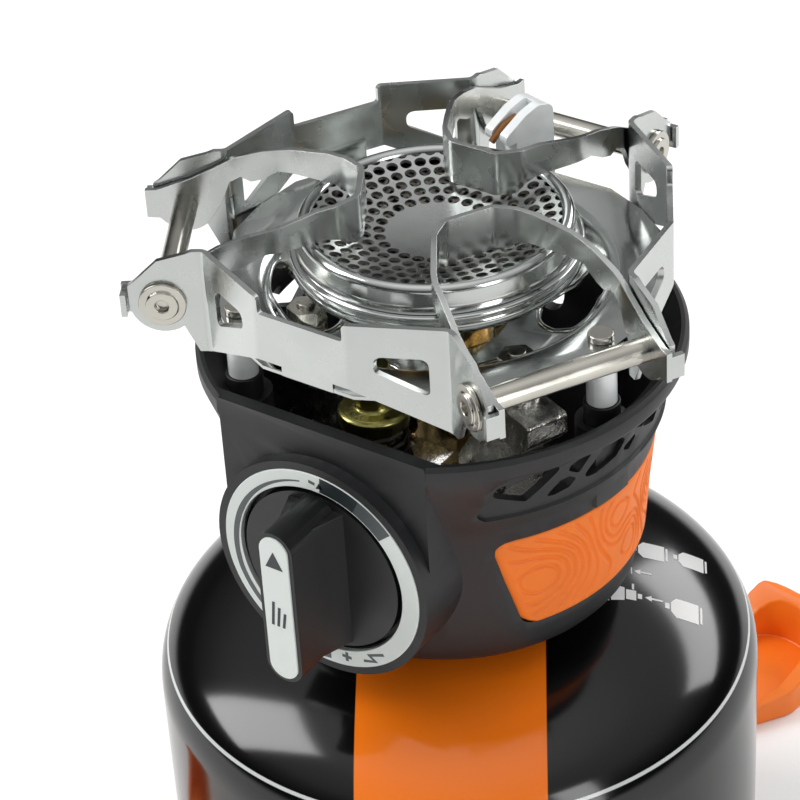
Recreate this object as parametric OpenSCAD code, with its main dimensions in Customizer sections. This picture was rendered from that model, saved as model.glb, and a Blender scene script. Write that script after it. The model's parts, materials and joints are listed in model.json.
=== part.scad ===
// Upright canister stove: burner with a folding pot support, its gas canister and a folding stand.
// The vertical axis of the stove is Z, the ground is z = 0, and the control knob faces -Y.

/* [Gas canister] */
// Outer diameter of the canister
can_d = 110; // [100:1:116]
// Height of the canister's straight wall
can_wall_h = 62.7; // [40:0.1:110]
// Height of the domed top above the straight wall
dome_h = 21.9; // [18:0.1:26]
// Exponent of the dome's curve; a higher one is squarer
dome_n = 2.55; // [2:0.05:3]
// Thickness of the steel can
can_t = 0.5; // [0.4:0.05:0.8]
// Diameter of the canister's valve stub
stub_d = 11; // [10.8:0.05:11.1]

/* [Stand] */
// Length of a leg from the centre pin to its tip
leg_len = 106; // [90:1:120]
// Thickness of a leg's arm
leg_t = 2.8; // [2.4:0.1:3]
// Width of a leg's arm
leg_w = 12; // [9:0.5:12.5]
// Width of a leg's foot
foot_w = 24; // [18:1:28]
// Height of a leg's foot
foot_h = 15.5; // [10:0.5:20]
// Direction of the leg that stays put, in degrees
leg_back_a = 80; // [60:1:100]
// Angle from that leg to the left leg, in degrees
leg_left_a = 129; // [115:1:132]

/* [Housing] */
// Radius of the housing at its rim
rim_r = 42.3; // [40:0.1:46]
// Radius of the housing at its base
base_r = 33; // [31:0.1:35]
// Height of the housing from its base to its rim
housing_h = 48.7; // [44:0.1:54]
// Wall thickness of the housing
wall = 2.4; // [1.8:0.1:3]
// Distance of the flat front from the axis
front_y = 36.8; // [35.5:0.1:40]
// Width of the flat front
front_w = 41; // [38:0.5:44]
// Height of the vent band's lower edge above the base
vent_z = 34.5; // [33:0.1:36]
// Height of the vent band
vent_h = 10.6; // [8:0.1:11]

/* [Knob] */
// Height of the knob's axis above the housing's base
dial_rise = 22.04; // [20:0.01:24]
// Radius of the white scale ring
dial_r = 19.65; // [18:0.05:20]
// Inner radius of the white scale ring
dial_in_r = 16.4; // [16.2:0.05:17]
// Radius of the knob's disc
knob_r = 15.4; // [14:0.1:15.8]
// How far the grip stands out from the scale ring
grip_out = 12.2; // [9:0.1:16]
// Length of the knob's grip
grip_len = 31; // [27:0.5:31.5]
// Width of the knob's grip at its face
grip_w = 7.2; // [6:0.1:9]
// Diameter of the valve spindle
spindle_d = 6; // [5:0.1:7]

/* [Deck] */
// Depth of the deck's bowl
bowl_h = 9.8; // [9.2:0.1:10.2]
// Depth of the lips turned down at the deck's corners
lip_h = 4.4; // [3:0.1:5]
// Thickness of the deck
deck_t = 0.6; // [0.4:0.05:0.8]

/* [Burner] */
// Radius of the burner's rim
burner_r = 23.4; // [20:0.1:24.5]
// How far the lower shell stands out past the rim
shell_step = 1.5; // [1:0.1:2]
// Depth of the dished flame plate
dish_h = 3.2; // [1:0.1:4]
// Thickness of the burner's sheet steel
burner_t = 0.6; // [0.4:0.05:0.8]
// Height of the burner's rim above the support's base line
burner_rise = 11; // [10.5:0.1:12]
// Outer radius of the mixing tube
tube_r = 8; // [7:0.1:9]

/* [Pot support] */
// Height of the support's base line above the housing's rim
support_rise = 11.3; // [11:0.1:14]
// Sheet thickness of the walls and loops
sheet = 1; // [0.8:0.05:1.2]
// Distance of a wall's flat middle from the axis, to its outer face
wall_n = 39.55; // [39:0.05:42]
// Half width of a wall's flat middle
mid_s = 8.9; // [7:0.1:10]
// Height of the support's top edge above its base line
wall_top = 14.1; // [13:0.1:15]
// Step down of a wall's middle
mid_step = 3.25; // [2:0.05:4]
// Distance of the hinge pins from the axis
pin_r = 44.43; // [43.5:0.01:46]
// Height of the hinge pins above the support's base line
pin_rise = 4.3; // [4:0.1:5]
// Outer diameter of a hinge rivet
rivet_d = 3; // [2.5:0.1:3.4]
// Outer diameter of the spacer tube between a loop's ears
spacer_d = 4.2; // [4:0.1:4.6]
// Distance between the outer faces of the two ears that hold a pin
ear_span = 33.2; // [32:0.1:34]
// Distance of a loop's tip from the axis
tip_r = 11.8; // [10:0.1:14]
// Height of a loop's tip above the support's base line
tip_top = 17.3; // [16:0.1:18]

/* [Fits] */
// Radial clearance of a turning pin in its bore
run_gap = 0.05; // [0.02:0.01:0.1]
// Gap between faces that pass each other
pass_gap = 0.3; // [0.25:0.05:0.4]
// Radial clearance of parts that slip together and stay put
slip_gap = 0.1; // [0.05:0.05:0.2]

/* [Hidden] */
$fn = 72;

eps = 0.01;
orange = "#F47F26";
black_plastic = "#2B2C2D";
steel = "#C9C8C2";

// Heights along the stove's axis
can_r = can_d / 2;
arm_z = 1;
can_z = arm_z + leg_t + pass_gap + 0.2;
shoulder_z = can_z + can_wall_h;
dome_top = shoulder_z + dome_h;
base_z = dome_top + 2.4;
rim_z = base_z + housing_h;
dial_z = base_z + dial_rise;
support_z = rim_z + support_rise;
deck_z = support_z;
pin_z = support_z + pin_rise;
top_z = support_z + wall_top;
burner_z = support_z + burner_rise;
floor_t = 2.7;
floor_z = base_z + floor_t;

// Fillet on the corner q between p and s, as points on an arc
function unit(v) = v / norm(v);
function corner(p, q, s, r, n) =
  let (u = unit(p - q), v = unit(s - q), half = acos(u * v) / 2, c = q + unit(u + v) * r / sin(half),
    a = q + u * r / tan(half) - c, b = q + v * r / tan(half) - c,
    a0 = atan2(a[1], a[0]), turn = (atan2(b[1], b[0]) - a0 + 540) % 360 - 180)
  r == 0 ? [q] : [for (i = [0:n]) c + r * [cos(a0 + turn * i / n), sin(a0 + turn * i / n)]];
// A closed outline with every corner rounded by the matching radius
function rounded(pts, radii, n = 5) =
  [for (i = [0:len(pts) - 1]) each corner(pts[(i + len(pts) - 1) % len(pts)], pts[i],
    pts[(i + 1) % len(pts)], radii[i], n)];
// An open route with its inner corners rounded
function route(pts, radii, n = 5) =
  [for (i = [0:len(pts) - 1]) each (i == 0 || i == len(pts) - 1 ? [pts[i]] :
    corner(pts[i - 1], pts[i], pts[i + 1], radii[i], n))];
// Points beside an open route, at the distance w to its left
function beside(p, w) =
  [for (i = [0:len(p) - 1]) let (last = len(p) - 1,
    a = unit(i == 0 ? p[1] - p[0] : p[i] - p[i - 1]), b = unit(i == last ? p[i] - p[i - 1] : p[i + 1] - p[i]),
    na = [-a[1], a[0]], m = unit(na + [-b[1], b[0]])) p[i] + m * w / (m * na)];
function backwards(p) = [for (i = [len(p) - 1:-1:0]) p[i]];
// The outline of a strip of width w along an open route
function strip(p, w) = concat(beside(p, w / 2), backwards(beside(p, -w / 2)));

// Places copies at three equal turns, the first in the direction a
module thirds(a = 0) {
  for (i = [0:2]) rotate(a + 120 * i) children();
}
// Turns a shape drawn in X and Z, extruded by w, to stand on the XZ plane centred on y = 0
module upright(w) {
  rotate([90, 0, 0]) translate([0, 0, -w / 2]) linear_extrude(w) children();
}
module tube(r_out, r_in, h) {
  difference() {
    cylinder(r = r_out, h = h);
    translate([0, 0, -eps]) cylinder(r = r_in, h = h + 2 * eps);
  }
}
// A round tube swept along points in space
function frame_at(p, i) =
  let (last = len(p) - 1, d = unit(p[min(i + 1, last)] - p[max(i - 1, 0)]),
    side = unit(cross(d, abs(d[2]) > 0.9 ? [0, 1, 0] : [0, 0, 1]))) [side, cross(d, side)];
module sweep(p, r, sides = 8) {
  rings = [for (i = [0:len(p) - 1]) let (f = frame_at(p, i)) for (k = [0:sides - 1])
    p[i] + r * (f[0] * cos(360 * k / sides) + f[1] * sin(360 * k / sides))];
  faces = concat([[for (k = [0:sides - 1]) k]],
    [for (i = [0:len(p) - 2]) for (k = [0:sides - 1]) let (a = i * sides + k, b = i * sides + (k + 1) % sides)
      [b, a, a + sides, b + sides]],
    [[for (k = [sides - 1:-1:0]) (len(p) - 1) * sides + k]]);
  polyhedron(rings, faces);
}

// ---------- Gas canister ----------
cup_r = 15.7;
dome_edge_r = 16.2;
curl_r = 1.5;
function dome_pts(t) = let (rr = can_r - t, h = dome_h - t, edge = pow(1 - pow(dome_edge_r / rr, 2), 1 / dome_n))
  [for (i = [0:20]) let (u = edge * sin(90 * i / 20)) [rr * sqrt(1 - pow(u, dome_n)), shoulder_z + h * u]];
// The base is a concave dome inside a rolled rim
base_rise = 9;
base_roll = 3;
function base_pts(t) = [[0, can_z + base_rise + t], [can_r * 0.4, can_z + base_rise * 0.87 + t],
  [can_r * 0.68, can_z + base_rise * 0.45 + t], [can_r - 2.4 * base_roll, can_z + 0.4 + t],
  [can_r - 1.6 * base_roll, can_z + t], [can_r - 0.8 * base_roll, can_z + 0.3 * base_roll + t * 0.7],
  [can_r - t, can_z + base_roll]];
module can_shell() {
  color("#1A1B1C") rotate_extrude()
    polygon(concat(base_pts(0), dome_pts(0), backwards(dome_pts(can_t)), backwards(base_pts(can_t))));
}
stub_top = dome_top + 6.1;
cup_floor = dome_top - 4.4;
stub_bore = 1.8;
module valve_cup() {
  color("#B9BABA") rotate_extrude() {
    translate([cup_r, dome_top + 0.75]) circle(curl_r);
    polygon([[stub_bore, cup_floor], [cup_r - curl_r, cup_floor], [cup_r - curl_r, dome_top + 0.75],
      [cup_r - curl_r - can_t, dome_top + 0.75], [cup_r - curl_r - can_t, cup_floor + can_t],
      [stub_d / 2, cup_floor + can_t], [stub_d / 2, stub_top - 0.6], [stub_d / 2 - 0.6, stub_top],
      [stub_bore, stub_top]]);
  }
}
// The spring-loaded stem is a blind tube below the valve's mouth
module valve_core() {
  color("#D8D6CC") rotate_extrude()
    polygon([[0, cup_floor - 9], [4.6, cup_floor - 9], [4.6, cup_floor - 1.4], [stub_bore - 0.15, cup_floor - 1.4],
      [stub_bore - 0.15, stub_top - 4.6], [0, stub_top - 4.6]]);
}
module valve_gasket() {
  color("#30302E") translate([0, 0, cup_floor - 1.3]) tube(4.6, stub_bore, 1.2);
}

// ---------- Folding stand ----------
hub_r = 11;
hub_pin_r = 3;
step_r = 26;
level_rise = 2.7;
upper_t = leg_t - 0.4;
clip_r = can_r + 0.6;
foot_start = leg_len - foot_w;
// The foot's plan: it widens from the arm and has a round tip
function foot_plan(grow = 0) =
  rounded([[foot_start - 8, -leg_w / 2], [foot_start + 5, -foot_w / 2 + grow], [leg_len - grow, -foot_w / 2 + grow + 1],
    [leg_len - grow, foot_w / 2 - grow - 1], [foot_start + 5, foot_w / 2 - grow], [foot_start - 8, leg_w / 2]],
    [0, 6, 7, 7, 6, 0]);
// A leg: its hub lies on one of three levels and its arm steps down outside the others
module leg(level) {
  hub_z = level == 0 ? arm_z : arm_z + leg_t + 0.3 + (level - 1) * level_rise;
  hub_t = level == 0 ? leg_t : upper_t;
  difference() {
    union() {
      translate([0, 0, hub_z]) cylinder(r = hub_r, h = hub_t);
      if (level == 0) translate([0, -leg_w / 2, arm_z]) cube([foot_start, leg_w, leg_t]);
      else {
        translate([0, -leg_w / 2, hub_z]) cube([step_r + 3, leg_w, hub_t]);
        translate([step_r, -leg_w / 2, arm_z]) cube([3, leg_w, hub_z + hub_t - arm_z]);
        translate([step_r, -leg_w / 2, arm_z]) cube([foot_start - step_r, leg_w, leg_t]);
      }
      // The clip stands against the canister's rolled rim
      translate([clip_r, 0, arm_z]) upright(leg_w - 2) polygon(rounded([[0, 0], [9, 0], [3.4, 17], [2.6, 19],
        [0, 19]], [0, 0, 2, 1, 0.8]));
      foot();
    }
    translate([0, 0, hub_z - eps]) cylinder(r = hub_pin_r + run_gap, h = hub_t + 2 * eps);
  }
}
// The foot is a hollow hoof, open on top and lower toward the canister
module foot() {
  intersection() {
    difference() {
      linear_extrude(foot_h) polygon(foot_plan());
      translate([0, 0, arm_z + leg_t]) linear_extrude(foot_h) polygon(foot_plan(3.4));
    }
    upright(foot_w + 2) polygon([[foot_start - 9, 0], [leg_len + 1, 0], [leg_len + 1, foot_h - 1],
      [leg_len - 2, foot_h], [leg_len - 7, foot_h * 0.66], [leg_len - 12, foot_h * 0.5],
      [foot_start - 8, arm_z + leg_t]]);
  }
}
module leg_back() { color(orange) rotate(leg_back_a) leg(0); }
module leg_left() { color(orange) rotate(leg_back_a + leg_left_a) leg(1); }
module leg_front() { color(orange) rotate(leg_back_a + 240) leg(2); }
hub_top = arm_z + leg_t + 0.3 + level_rise + upper_t;
module leg_pin() {
  color(steel) {
    cylinder(r = 8, h = arm_z - 0.2);
    cylinder(r = hub_pin_r, h = hub_top + 0.2);
    translate([0, 0, hub_top + 0.2]) cylinder(r = 5, h = 1.2);
  }
}

// ---------- Housing ----------
// Outer and inner profile of the round cup, as radius against height above the base
flare_z = vent_z - 3.8;
waist_r = base_r + 4;
function cup_out() = [[base_r - 3, 0], [base_r - 1.2, 0.5], [base_r, 2], [base_r + 0.8, 5.7], [base_r + 1.4, 10.7],
  [base_r + 2.1, 18.7], [base_r + 3.2, 26.7], [waist_r, flare_z], [rim_r - 3.9, vent_z], [rim_r, vent_z + vent_h + 0.6],
  [rim_r, housing_h - 0.7], [rim_r - 0.7, housing_h]];
function cup_in() = [[rim_r - 1.4, housing_h + eps], [rim_r - 1.4, housing_h - 0.3], [rim_r - 4.2, housing_h - 3],
  [rim_r - 4.8, housing_h - 5], [waist_r - 1.1, vent_z], [waist_r - wall, flare_z], [base_r + 3.2 - wall, 24.7],
  [base_r + 1.4 - wall, 10.7], [base_r + 0.8 - wall, 5.7], [base_r - 2.2, floor_t + 0.6], [base_r - 3, floor_t], [0, floor_t]];
bezel_r = dial_r + 1.55;
bezel_out = 2.4;
front_arc_r = 3;
// The flat front is a straight-sided arch around the dial
module front_plan(grow) {
  difference() {
    union() {
      translate([0, dial_rise]) circle(bezel_r - grow);
      translate([-front_w / 2 + grow, dial_rise]) square([front_w - 2 * grow, housing_h - dial_rise + (grow > 0 ? 1 : 0)]);
    }
    translate([-50, -20]) square([100, 20]);
  }
}
// Turns a shape drawn in X and Z into a prism that runs from y = -far to y = -near
module face_prism(near, far) {
  translate([0, -near, 0]) rotate([90, 0, 0]) linear_extrude(far - near) children();
}
// The part of the housing behind the plane of its flat front
module behind_front(y) { translate([-60, -y, -1]) cube([120, 120, 80]); }
// Two leaf shapes: one hangs from its straight upper edge, the other stands on its lower left tip
function leaf_pts(w, h, kind) = kind == 0
  ? [[-w * 0.5, -h * 0.1], [-w * 0.04, -h * 0.5], [w * 0.5, h * 0.42], [w * 0.28, h * 0.5], [-w * 0.42, h * 0.18]]
  : [[-w * 0.5, -h * 0.44], [-w * 0.2, -h * 0.5], [w * 0.27, -h * 0.33], [w * 0.5, h * 0.12], [w * 0.26, h * 0.5],
    [-w * 0.04, h * 0.46]];
// A leaf-shaped opening through the wall at the angle a
module vent_leaf(a, z, w, h, kind) {
  r = h * 0.14;
  rotate(a) translate([rim_r - 14, 0, z]) rotate([90, 0, 90]) linear_extrude(16)
    polygon(rounded(leaf_pts(w, h, kind), kind == 0 ? [r, r, r, r, r] : [r, r, r, r, r, r], 3));
}
vent_span = 46;
// The openings of one side band: angle from the band's middle, height, width, height, shape
function side_leaves() = [[-35.8, 4.9, 13.2, 6.2, 0], [-27, 2.8, 6, 2.9, 1], [-21.5, 5.9, 4.9, 3.6, 0],
  [-13.2, 4.7, 10.4, 5.4, 1], [-3.3, 3.3, 3.8, 2.4, 0], [2.6, 6.1, 4.8, 3.2, 0], [11, 4.9, 11.4, 5.8, 0],
  [19.8, 2.8, 6, 2.9, 1], [25.4, 5.9, 4.9, 3.6, 0], [33.6, 4.7, 10.4, 5.4, 1]];
module side_band(s) {
  half = (rim_r - 1) * sin(vent_span);
  mirror([s < 0 ? 1 : 0, 0, 0]) {
    intersection() {
      rotate_extrude() polygon([[rim_r - 3, vent_z + vent_h], [rim_r + 2, vent_z + vent_h],
        [rim_r + 2, vent_z - 0.2], [rim_r - 3.6, vent_z - 0.2], [rim_r - 4.4, vent_z + 0.4]]);
      rotate([90, 0, 90]) translate([0, 0, 18]) linear_extrude(30) polygon(rounded([[-half, vent_z - 0.3],
        [half, vent_z - 0.3], [half, vent_z + vent_h + 0.1], [-half, vent_z + vent_h + 0.1]], [3, 3, 3, 3]));
    }
    for (v = side_leaves()) vent_leaf(v[0], vent_z + 0.6 + v[1], v[2], v[3], v[4]);
  }
}
// Openings in the back wall
module back_vents() {
  for (a = [70:20:110]) rotate(a) translate([rim_r - 12, 0, vent_z + 0.5]) rotate([90, 0, 90])
    linear_extrude(16) polygon(rounded([[-2.6, -3.6], [2.6, -3.6], [2.6, 3.6], [-2.6, 3.6]], [2.5, 2.5, 2.5, 2.5]));
}
standoff_r = 35.2;
standoff_a = -8.4;
boss_r = 4.6;
floor_open_r = 13.3;
screw_ring_r = 21;
screw_r = 1.5;
module housing() {
  color(black_plastic) translate([0, 0, base_z]) difference() {
    union() {
      difference() {
        union() {
          intersection() {
            rotate_extrude() polygon(concat([[0, 0]], cup_out(), [[0, housing_h]]));
            behind_front(front_y);
          }
          face_prism(12, front_y) front_plan(0);
          face_prism(front_y - eps, front_y + bezel_out) translate([0, dial_rise]) circle(bezel_r);
        }
        intersection() {
          rotate_extrude() polygon(concat([[0, housing_h + eps]], cup_in()));
          behind_front(front_y - wall);
        }
        difference() {
          face_prism(8, front_y - wall) front_plan(wall);
          translate([-50, -50, -1]) cube([100, 100, floor_t + 1.6]);
        }
        for (s = [-1, 1]) side_band(s);
        back_vents();
      }
      // Bosses that carry the standoffs, joined to the wall
      intersection() {
        cylinder(r = rim_r - 4.9, h = housing_h);
        thirds(standoff_a) translate([standoff_r, 0, 29]) cylinder(r = boss_r, h = housing_h - 33.4);
      }
    }
    // Seat of the scale ring and hole for the knob's shaft
    face_prism(front_y + bezel_out - 0.9, front_y + 9) translate([0, dial_rise]) circle(dial_r + slip_gap);
    face_prism(recess_y, front_y + 9) translate([0, dial_rise]) circle(dial_in_r - 0.2);
    face_prism(10, front_y + 9) translate([0, dial_rise]) circle(7);
    translate([0, 0, -1]) cylinder(r = floor_open_r, h = 9);
    thirds(30) translate([screw_ring_r, 0, -1]) cylinder(r = screw_r + slip_gap, h = 9);
    thirds(30) translate([screw_ring_r, 0, -1]) cylinder(r = 3.1, h = 2.1);
    thirds(standoff_a) translate([standoff_r, 0, 36]) cylinder(r = 1.25, h = 12);
    thirds(standoff_a) translate([standoff_r, 0, housing_h - 7]) cylinder(r = cup_seat_r, h = 12);
    for (s = [-1, 1]) grip_space(s, slip_gap, -1.1);
  }
}
cup_seat_r = 3.2;

// Soft grips at the two sides
grip_a = 43;
grip_top = 28.1;
grip_bottom = 7.8;
grip_proud = 0.5;
// Half widths of the grip along its lower and upper edges
grip_low = 20;
grip_high = 26;
module grip_outline(grow) {
  polygon(rounded([[-grip_low - grow, grip_bottom - grow], [grip_low + grow, grip_bottom - grow],
    [grip_high + grow, grip_top + grow], [-grip_high - grow, grip_top + grow]], [2.5, 2.5, 2.5, 2.5]));
}
// The part of a band around the cup that lies inside the grip's outline
module grip_space(s, grow, depth) {
  mirror([s < 0 ? 1 : 0, 0, 0]) intersection() {
    rotate([90, 0, 90]) translate([0, 0, 18]) linear_extrude(24) grip_outline(grow);
    rotate_extrude() polygon([[base_r + 1.1 + depth, 7], [base_r + 2.1 + depth, 18.7], [base_r + 3.2 + depth, 28.5],
      [base_r + 3.2 + 6, 28.5], [base_r + 1.1 + 6, 7]]);
  }
}
module grip(s) {
  color(orange) translate([0, 0, base_z]) mirror([s < 0 ? 1 : 0, 0, 0]) intersection() {
    rotate([90, 0, 90]) translate([0, 0, 18]) linear_extrude(24) grip_outline(0);
    rotate_extrude() polygon([[base_r + 1.1 - 1, 7], [base_r + 2.1 - 1, 18.7], [base_r + 3.2 - 1, 28.5],
      [base_r + 3.3 + grip_proud, 28.5], [base_r + 2.1 + grip_proud, 18.7], [base_r + 1.1 + grip_proud, 7]]);
  }
}
module grip_right() { grip(1); }
module grip_left() { grip(-1); }

// ---------- Knob ----------
dial_y = front_y + bezel_out + 0.2;
recess_y = front_y + 0.1;
knob_back = recess_y + pass_gap;
knob_front = dial_y - 0.2;
face_y = dial_y + grip_out;
plate_t = 0.5;
module at_dial() { translate([0, 0, dial_z]) children(); }
module dial_ring() {
  color("#DDE3DF") at_dial() face_prism(dial_y - 1, dial_y) difference() {
    circle(dial_r);
    circle(dial_in_r);
  }
}
// A bar with round ends, its long side along Z
module bar_plan(len, w) {
  union() {
    for (s = [-1, 1]) translate([0, s * (len - w) / 2]) circle(w / 2);
    square([w, len - w], center = true);
  }
}
module knob() {
  color(black_plastic) at_dial() difference() {
    union() {
      face_prism(knob_back, knob_front) circle(knob_r);
      face_prism(dial_y - 7, knob_back + eps) circle(5.4);
      face_prism(knob_front - eps, face_y - plate_t * 0.6) bar_plan(grip_len, grip_w);
      // The grip's flanks spread where they meet the disc
      intersection() {
        face_prism(knob_front - eps, face_y) circle(knob_r - 0.6);
        translate([0, 0, -13.5]) linear_extrude(27) polygon([[-5.4, -knob_front], [5.4, -knob_front],
          [grip_w / 2 - 0.4, -knob_front - 6], [-grip_w / 2 + 0.4, -knob_front - 6]]);
      }
    }
    face_prism(face_y - plate_t * 1.6, face_y + 1) bar_plan(grip_len - 1.4, grip_w - 1.4);
    difference() {
      face_prism(dial_y - 8, knob_front + 2) circle(spindle_d / 2);
      translate([-5, -knob_front - 3, spindle_flat + 0.02]) cube([10, 14, 5]);
    }
  }
}
module knob_plate() {
  color("#DDE1DD") at_dial() face_prism(face_y - plate_t * 1.6 + 0.02, face_y) bar_plan(grip_len - 1.6, grip_w - 1.6);
}
spindle_flat = spindle_d / 2 - 0.8;
spindle_in = 9;
// The spindle has a flat for the knob, a groove for its seal and a needle tip
module spindle() {
  color("#B58A3E") at_dial() difference() {
    union() {
      rotate([90, 0, 0]) rotate_extrude() polygon([[0, spindle_in], [0.6, spindle_in], [1.4, spindle_in + 4],
        [spindle_d / 2, spindle_in + 4], [spindle_d / 2, 19], [spindle_d / 2 - 0.9, 19], [spindle_d / 2 - 0.9, 21],
        [spindle_d / 2, 21], [spindle_d / 2, knob_front + 1.9], [0, knob_front + 1.9]]);
    }
    translate([-5, -knob_front - 5, spindle_flat]) cube([10, knob_front + 5 - boss_end - 0.2, 5]);
  }
}
module spindle_seal() {
  color("#2A2A2A") at_dial() rotate([90, 0, 0]) translate([0, 0, 19.1]) rotate_extrude()
    translate([spindle_d / 2 - 0.9, 0]) square([0.88, 1.8]);
}

// ---------- Valve, regulator and gas path ----------
neck_r = 9;
connector_top = stub_top + 1.5;
module connector() {
  color("#C9A55A") difference() {
    union() {
      translate([0, 0, dome_top - 0.6]) cylinder(r = neck_r, h = connector_top - dome_top + 0.6);
      translate([0, 0, floor_z + slip_gap]) cylinder(r = 15, h = 2.4);
    }
    translate([0, 0, dome_top - 1]) cylinder(r = stub_d / 2 + slip_gap, h = connector_top - dome_top + 0.5);
    cylinder(r = 1.2, h = 200);
  }
  // The pin that presses the canister's valve open, on a bar across the gas hole
  color("#C9A55A") union() {
    translate([0, 0, stub_top - 4.5]) cylinder(r = 1, h = 5.4);
    translate([-2.7, -0.7, stub_top + 0.4]) cube([5.4, 1.4, 0.9]);
  }
}
module connector_seal() {
  color("#2A2A2A") translate([0, 0, stub_top + 0.05]) tube(stub_d / 2 - 0.2, 3, 0.8);
}
body_base_z = floor_z + slip_gap + 2.5;
body_r = 13;
body_top = dial_z + 6;
boss_end = 31;
gland_r = 8.5;
reg_x = 1.8;
reg_y = -23.5;
turret_r = 7.4;
spring_r = 5.2;
wire_r = 0.6;
turret_top = dial_z + 13.6;
arm_top = rim_z - 3;
arm_w = 8;
seat_r = 9.2;
module valve_body() {
  color("#8E8F8C") difference() {
    union() {
      translate([0, 0, body_base_z]) cylinder(r = 25, h = 3);
      translate([0, 0, body_base_z]) cylinder(r = body_r, h = body_top - body_base_z);
      at_dial() face_prism(0, boss_end) circle(gland_r);
      translate([reg_x, reg_y, dial_z - 4]) cylinder(r = turret_r, h = turret_top - dial_z + 4);
      // Three arms reach up under the deck
      thirds(nut_a) upright(arm_w) polygon(rounded([[8, dial_z - 12], [14, dial_z - 12], [29, arm_top - 6], [31, arm_top - 4],
        [31, arm_top], [21, arm_top], [8, dial_z + 4]], [0, 4, 3, 1, 1, 5, 0]));
      thirds(nut_a) translate([nut_r, 0, arm_top - 3]) cylinder(r = 3.4, h = nut_z - arm_top + 3);
    }
    translate([0, 0, body_top - 3]) cylinder(r = seat_r + slip_gap, h = 40);
    translate([0, 0, body_base_z - 1]) cylinder(r = 1.6, h = 60);
    translate([0, 0, body_top - 9]) cylinder(r = 3, h = 20);
    at_dial() face_prism(-1, boss_end + 1) circle(1.7);
    at_dial() face_prism(spindle_in + 3.7, boss_end + 1) circle(spindle_d / 2 + run_gap);
    translate([reg_x, reg_y, dial_z + spindle_d / 2 + 2.6]) cylinder(r = spring_r + wire_r + 0.3, h = 30);
    thirds(30) translate([screw_ring_r, 0, body_base_z - 1]) cylinder(r = 1.25, h = 9);
  }
}
module diaphragm() {
  color("#5A3A30") translate([reg_x, reg_y, dial_z + spindle_d / 2 + 2.65]) cylinder(r = spring_r + wire_r, h = 0.8);
}
spring_z = dial_z + spindle_d / 2 + 3.5;
spring_top = rim_z - 5;
cap_z = spring_top + 0.05;
turns = 6;
module regulator_spring() {
  steps = 12;
  n = turns * steps;
  color("#3A3A3A") translate([reg_x, reg_y, spring_z + wire_r])
    sweep([for (i = [0:n]) [spring_r * cos(360 * i / steps), spring_r * sin(360 * i / steps),
      (spring_top - spring_z - 2 * wire_r) * i / n]], wire_r, 6);
}
module regulator_cap() {
  color("#A9A13C") translate([reg_x, reg_y, 0]) rotate_extrude() polygon([[0, cap_z - 6], [3.2, cap_z - 6], [3.2, cap_z],
    [spring_r + 0.7, cap_z], [spring_r + 0.9, cap_z + 2.6], [spring_r + 0.2, cap_z + 3.2], [3.6, cap_z + 3.4],
    [3.2, cap_z + 4], [3.2, support_z - 5.4], [2.6, support_z - 4.8], [0, support_z - 4.8]]);
}
module gas_jet() {
  color("#B98F45") difference() {
    union() {
      translate([0, 0, body_top - 8.5]) cylinder(r = 2.95, h = 8.5);
      translate([0, 0, body_top - 2.9]) cylinder(r = 4, h = 3.4, $fn = 6);
      translate([0, 0, body_top]) cylinder(r1 = 2.6, r2 = 1.4, h = 2.4);
    }
    translate([0, 0, body_top - 9]) cylinder(r = 1.2, h = 9);
    translate([0, 0, body_top - 9]) cylinder(r = 0.25, h = 13);
  }
}
tube_top = burner_z - 14.5;
hex_z = rim_z - 5;
module mixing_tube() {
  color("#B9A26A") difference() {
    union() {
      translate([0, 0, body_top - 2.9]) cylinder(r = seat_r, h = 13);
      translate([0, 0, body_top + 10]) cylinder(r = tube_r, h = tube_top - body_top - 10);
      translate([0, 0, hex_z]) cylinder(r = 10.4, h = 5, $fn = 6);
    }
    translate([0, 0, body_top - 4]) cylinder(r = tube_r - 1.6, h = 60);
    for (a = [17:60:317]) rotate(a) translate([0, 0, body_top + 5]) rotate([0, 90, 0]) cylinder(r = 2.4, h = 12);
  }
}

// ---------- Burner ----------
step_z = burner_z - 4.9;
shell_r = burner_r + shell_step;
cup_low = burner_z - 8.4;
plate_r = burner_r - 1.6;
plate_z = burner_z - 0.7;
function dish(r) = plate_z - dish_h * (1 - pow(r / plate_r, 2));
module burner_cup() {
  t = burner_t;
  color(steel) rotate_extrude() polygon([[tube_r + slip_gap, tube_top - 3], [tube_r + slip_gap, tube_top + 1],
    [12, tube_top + 2.4], [21, cup_low + 0.2], [shell_r - t, cup_low + 1.4], [shell_r - t, step_z - t],
    [burner_r + 0.3, step_z - t], [burner_r + 0.3, step_z], [shell_r - 0.4, step_z], [shell_r, step_z - 0.4],
    [shell_r, cup_low + 1.2], [shell_r - 0.8, cup_low], [21.4, cup_low - 0.6], [12.4, tube_top + 1.4],
    [tube_r + slip_gap + t, tube_top + 0.6], [tube_r + slip_gap + t, tube_top - 3]]);
}
// The dished plate and its rolled rim, in one sheet
module flame_plate() {
  t = burner_t;
  r0 = burner_r - 1.1;
  arc = [for (i = [0:6]) let (a = 150 - 150 * i / 6) [r0 + 1.1 * cos(a), burner_z - 1.1 + 1.1 * sin(a)]];
  arc_in = [for (i = [0:6]) let (a = 150 * i / 6) [r0 + (1.1 - t) * cos(a), burner_z - 1.1 + (1.1 - t) * sin(a)]];
  color(steel) rotate_extrude() polygon(concat([for (i = [0:8]) let (r = (r0 - 1) * i / 8) [r, dish(r)]], arc,
    [[burner_r, step_z - 0.5], [burner_r - t, step_z - 0.5]], arc_in,
    [for (i = [8:-1:0]) let (r = (r0 - 1) * i / 8) [r, dish(r) - t]]));
}

// ---------- Deck ----------
bowl_r = 31;
corner_a = 330;
deck_corner_r = 36.2;
deck_corner_t = 12.5;
wall_in = wall_n - sheet;
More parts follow.
